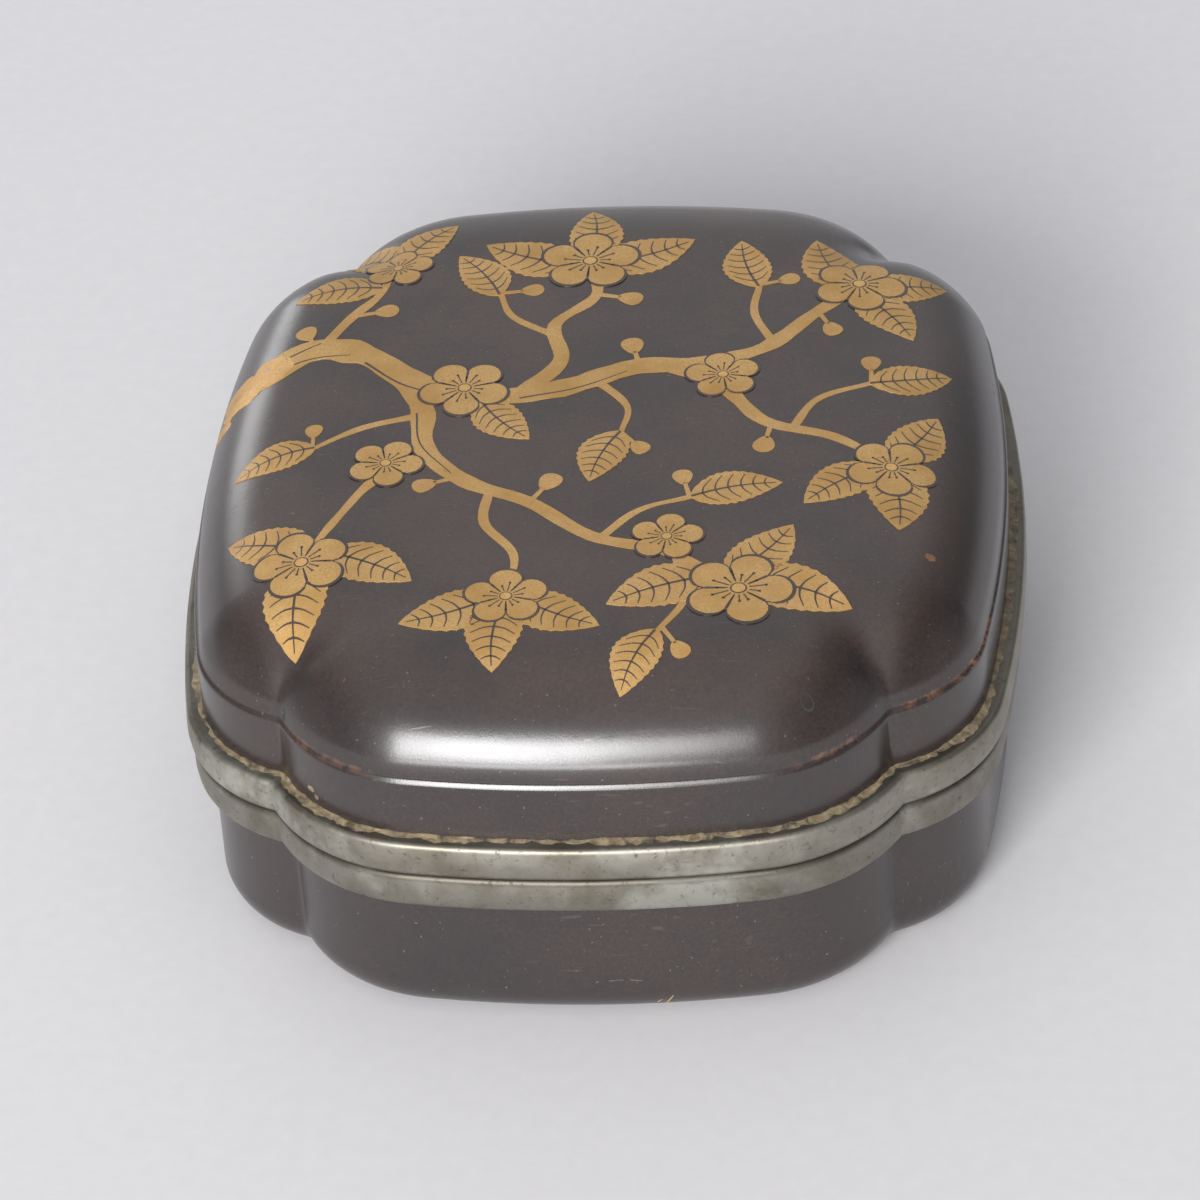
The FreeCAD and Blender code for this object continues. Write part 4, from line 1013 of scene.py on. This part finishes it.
brushParts = {
    "sides": 40, "thick": 0.985, "taper": 0.05, "jointWidth": 0.8, "tuftSides": 120, "hairs": 26,
    "hairDepth": 0.07,
    # Shares of the length and of the radius
    "sleeve": ((0, 0.84), (0.03, 0.9), (0.28, 0.985), (0.34, 1), (0.84, 1), (0.92, 0.985), (0.97, 0.955),
               (1, 0.9)),
    "knob": ((0, 0.9), (0.05, 0.985), (0.14, 0.93), (0.3, 0.66), (0.42, 0.62), (0.58, 0.74), (0.72, 0.78),
             (0.86, 0.66), (0.96, 0.42), (1, 0.2)),
    "tuft": ((0, 0.78), (0.06, 0.86), (0.14, 0.94), (0.24, 0.99), (0.36, 0.97), (0.48, 0.87), (0.6, 0.71),
             (0.7, 0.56), (0.8, 0.39), (0.88, 0.24), (0.94, 0.13), (0.98, 0.06), (1, 0.02)),
    # Across a joint of the bamboo: shares of its width, and how much thicker it is there
    "joint": ((-1.2, 0), (-0.5, 0.012), (-0.18, -0.045), (0.18, -0.045), (0.6, 0.015), (1.4, 0)),
}


def turnedPiece(name, node, profile, hairy):
    # Rings about the brush's own axis; a tuft is ridged by its hairs and runs from the sleeve to its tip
    low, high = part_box(node)
    middle = (low + high) / 2
    radius = (high.x - low.x) / 2
    sides = brushParts["tuftSides" if hairy else "sides"]
    depth = brushParts["hairDepth"] if hairy else 0
    rings = []
    for along, out in profile:
        y = high.y - along * (high.y - low.y) if hairy else low.y + along * (high.y - low.y)
        ring = []
        for k in range(sides):
            a = math.tau * k / sides
            wave = a * brushParts["hairs"] / 2 + 0.8 * math.sin(3 * a + 5 * along)
            reach = radius * out * (1 - depth * abs(math.sin(wave)))
            ring.append(Vector((middle.x + reach * math.cos(a), y, middle.z + reach * math.sin(a))))
        rings.append(ring)
    piece = ringPiece(name, rings, closeStart=True, closeEnd=True)
    smoothBy(piece)
    return piece


def shaftProfile(length, joints):
    # A slight taper with a groove and a ridge at each joint
    profile = [(0, 0.9), (0.004, brushParts["thick"])]
    for joint in joints:
        for shift, lift in brushParts["joint"]:
            share = joint + shift * brushParts["jointWidth"] * mm / length
            profile.append((share, brushParts["thick"] - brushParts["taper"] * share + lift))
    return profile + [(0.996, 0.935), (1, 0.85)]


for size, joints, hair in (("large", (0.3, 0.78), paleHair), ("small", (0.42,), brownHair)):
    brush = f"{size}_brush"
    low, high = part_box(brush + "_shaft")
    for part, called, slot, material, profile in (
        ("shaft", "bamboo_shaft", "bamboo", bamboo, shaftProfile(high.y - low.y, joints)),
        ("sleeve", "horn_sleeve", "horn", horn, brushParts["sleeve"]),
        ("knob", "horn_knob", "knob_horn", horn, brushParts["knob"]),
        ("tuft", "hair_tuft", "hair", hair, brushParts["tuft"]),
    ):
        node = f"{brush}_{part}"
        piece = turnedPiece(f"{size}_{called}", node, profile, hairy=part == "tuft")
        finishPiece(piece, brush, material, [node])
print("brushes made")


# The remaining pieces keep their own shape and take their finish here

finishes = (
    (baseLacquer, ["base_shell"]),
    (insideLacquer, ["base_lip", "inkstone_board", "brush_tray_wall", "brush_tray_floor", "tool_tray_wall",
                     "tool_tray_floor"]),
    (slate, ["inkstone"]), (agedCopper, ["dropper_base", "dropper_wall", "dropper_top"]),
    (restWood, ["front_brush_rest", "back_brush_rest"]), (inkSoot, ["ink_stick"]),
    (knifeRed, ["knife_grip"]), (brass, ["knife_collar"]), (steel, ["knife_blade"]),
)
for material, names in finishes:
    for name in names:
        nodes[name].data.materials.clear()
        nodes[name].data.materials.append(material)
print("finishes set")


def lookingFrom(azimuth, elevation):
    # One unit from the box, at angles in degrees to the right of its front and above the table
    a, e = math.radians(azimuth), math.radians(elevation)
    return Vector((math.sin(a) * math.cos(e), -math.cos(a) * math.cos(e), math.sin(e)))


def standAt(name, data, toward, distance, target=Vector(), roll=0):
    # Stands a camera or a light off its target, facing it
    thing = bpy.data.objects.new(name, data)
    bpy.context.scene.collection.objects.link(thing)
    thing.location = target + toward * distance
    facing = (-toward).to_track_quat("-Z", "Y").to_matrix()
    thing.rotation_euler = (facing @ Matrix.Rotation(math.radians(roll), 3, "Z")).to_euler()
    return thing


# The camera stands at the photograph's angle; the target and lens were fitted to the box's outline
view = {
    "azimuth": 5.8, "elevation": 36.93, "roll": -4.29, "distance": 0.793,
    "target": Vector((-1, -4.4, 23.4)) * mm, "lens": 190.9,
}
cameraData = bpy.data.cameras.new("camera")
cameraData.lens = view["lens"]
cameraData.sensor_width = 36
cameraData.clip_start = 0.05
cameraData.clip_end = 10
bpy.context.scene.camera = standAt("camera", cameraData, lookingFrom(view["azimuth"], view["elevation"]),
                                   view["distance"], view["target"], view["roll"])

# The floor: pale matt paper with a faint tooth, painted a little paler towards the back and darker at the
# front as painted light

floorPaper = {
    "size": 4, "dark": (0.79, 0.776, 0.79), "pale": (0.82, 0.806, 0.82), "tooth": 420, "relief": 0.0002,
    "backward": 2.2, "front": 0.86,
}
deselectAll()
bpy.ops.mesh.primitive_plane_add(size=floorPaper["size"])
floor = bpy.context.object
floor.name = "floor"
paper, shader, place = startMaterial("pale_paper", specular=0.15)
tooth = noiseOf(place, floorPaper["tooth"], 4, 0.6)
tone = rampOf(tooth, (0.3, floorPaper["dark"]), (0.7, floorPaper["pale"]))
# Painted light: the paper's colour is graded paler towards the back and darker towards the front
depth = newNode("SeparateXYZ", {"Vector": place}).outputs["Y"]
shade = rampOf(plus(times(depth, floorPaper["backward"]), 0.5), (0.2, floorPaper["front"]), (0.9, 1))
setSurface(shader, mixColour(1, tone, shade, "MULTIPLY"), 0.85, tooth, 0.05, floorPaper["relief"])
floor.data.materials.append(paper)

# Lights: a bright soft box in front and a little to the left, a fill by it, a strip under it and a faint
# box behind. Each has an azimuth, elevation, distance, size and power.
lights = {
    "front_box": (-15, 27, 1.5, (0.54, 0.56), 18),
    "front_fill": (3, 29, 1.5, (0.36, 0.42), 3.6),
    "low_strip": (-10, 6, 1.5, (0.8, 0.34), 8),
    "back_left_box": (-146, 9, 1.6, (0.45, 0.4), 1.6),
}
for name, (azimuth, elevation, distance, size, power) in lights.items():
    lampData = bpy.data.lights.new(name, "AREA")
    lampData.shape = "RECTANGLE"
    lampData.size, lampData.size_y = size
    lampData.energy = power
    standAt(name, lampData, lookingFrom(azimuth, elevation), distance)

# The room is pale behind and overhead, dimmer at the left and dark at the right
world = bpy.data.worlds.new("studio")
bpy.context.scene.world = world
world.use_nodes = True
room = world.node_tree.nodes
around = newNode("SeparateXYZ", {"Vector": room.new("ShaderNodeTexCoord").outputs["Generated"]})
side = plus(times(around.outputs["X"], 0.5), 0.5)
pale = (0.66, 0.665, 0.69)
glow = rampOf(side, (0, (0.34, 0.345, 0.36)), (0.07, (0.17, 0.17, 0.18)), (0.2, (0.54, 0.545, 0.56)),
              (0.34, pale), (0.64, pale), (0.78, (0.27, 0.27, 0.28)), (0.89, (0.055, 0.055, 0.06)),
              (1, (0.28, 0.28, 0.29)))
feed(room["Background"].inputs["Color"], glow)
feed(room["Background"].inputs["Strength"], 1)
bpy.context.scene.view_settings.view_transform = "Standard"
print("camera, floor and lights made")
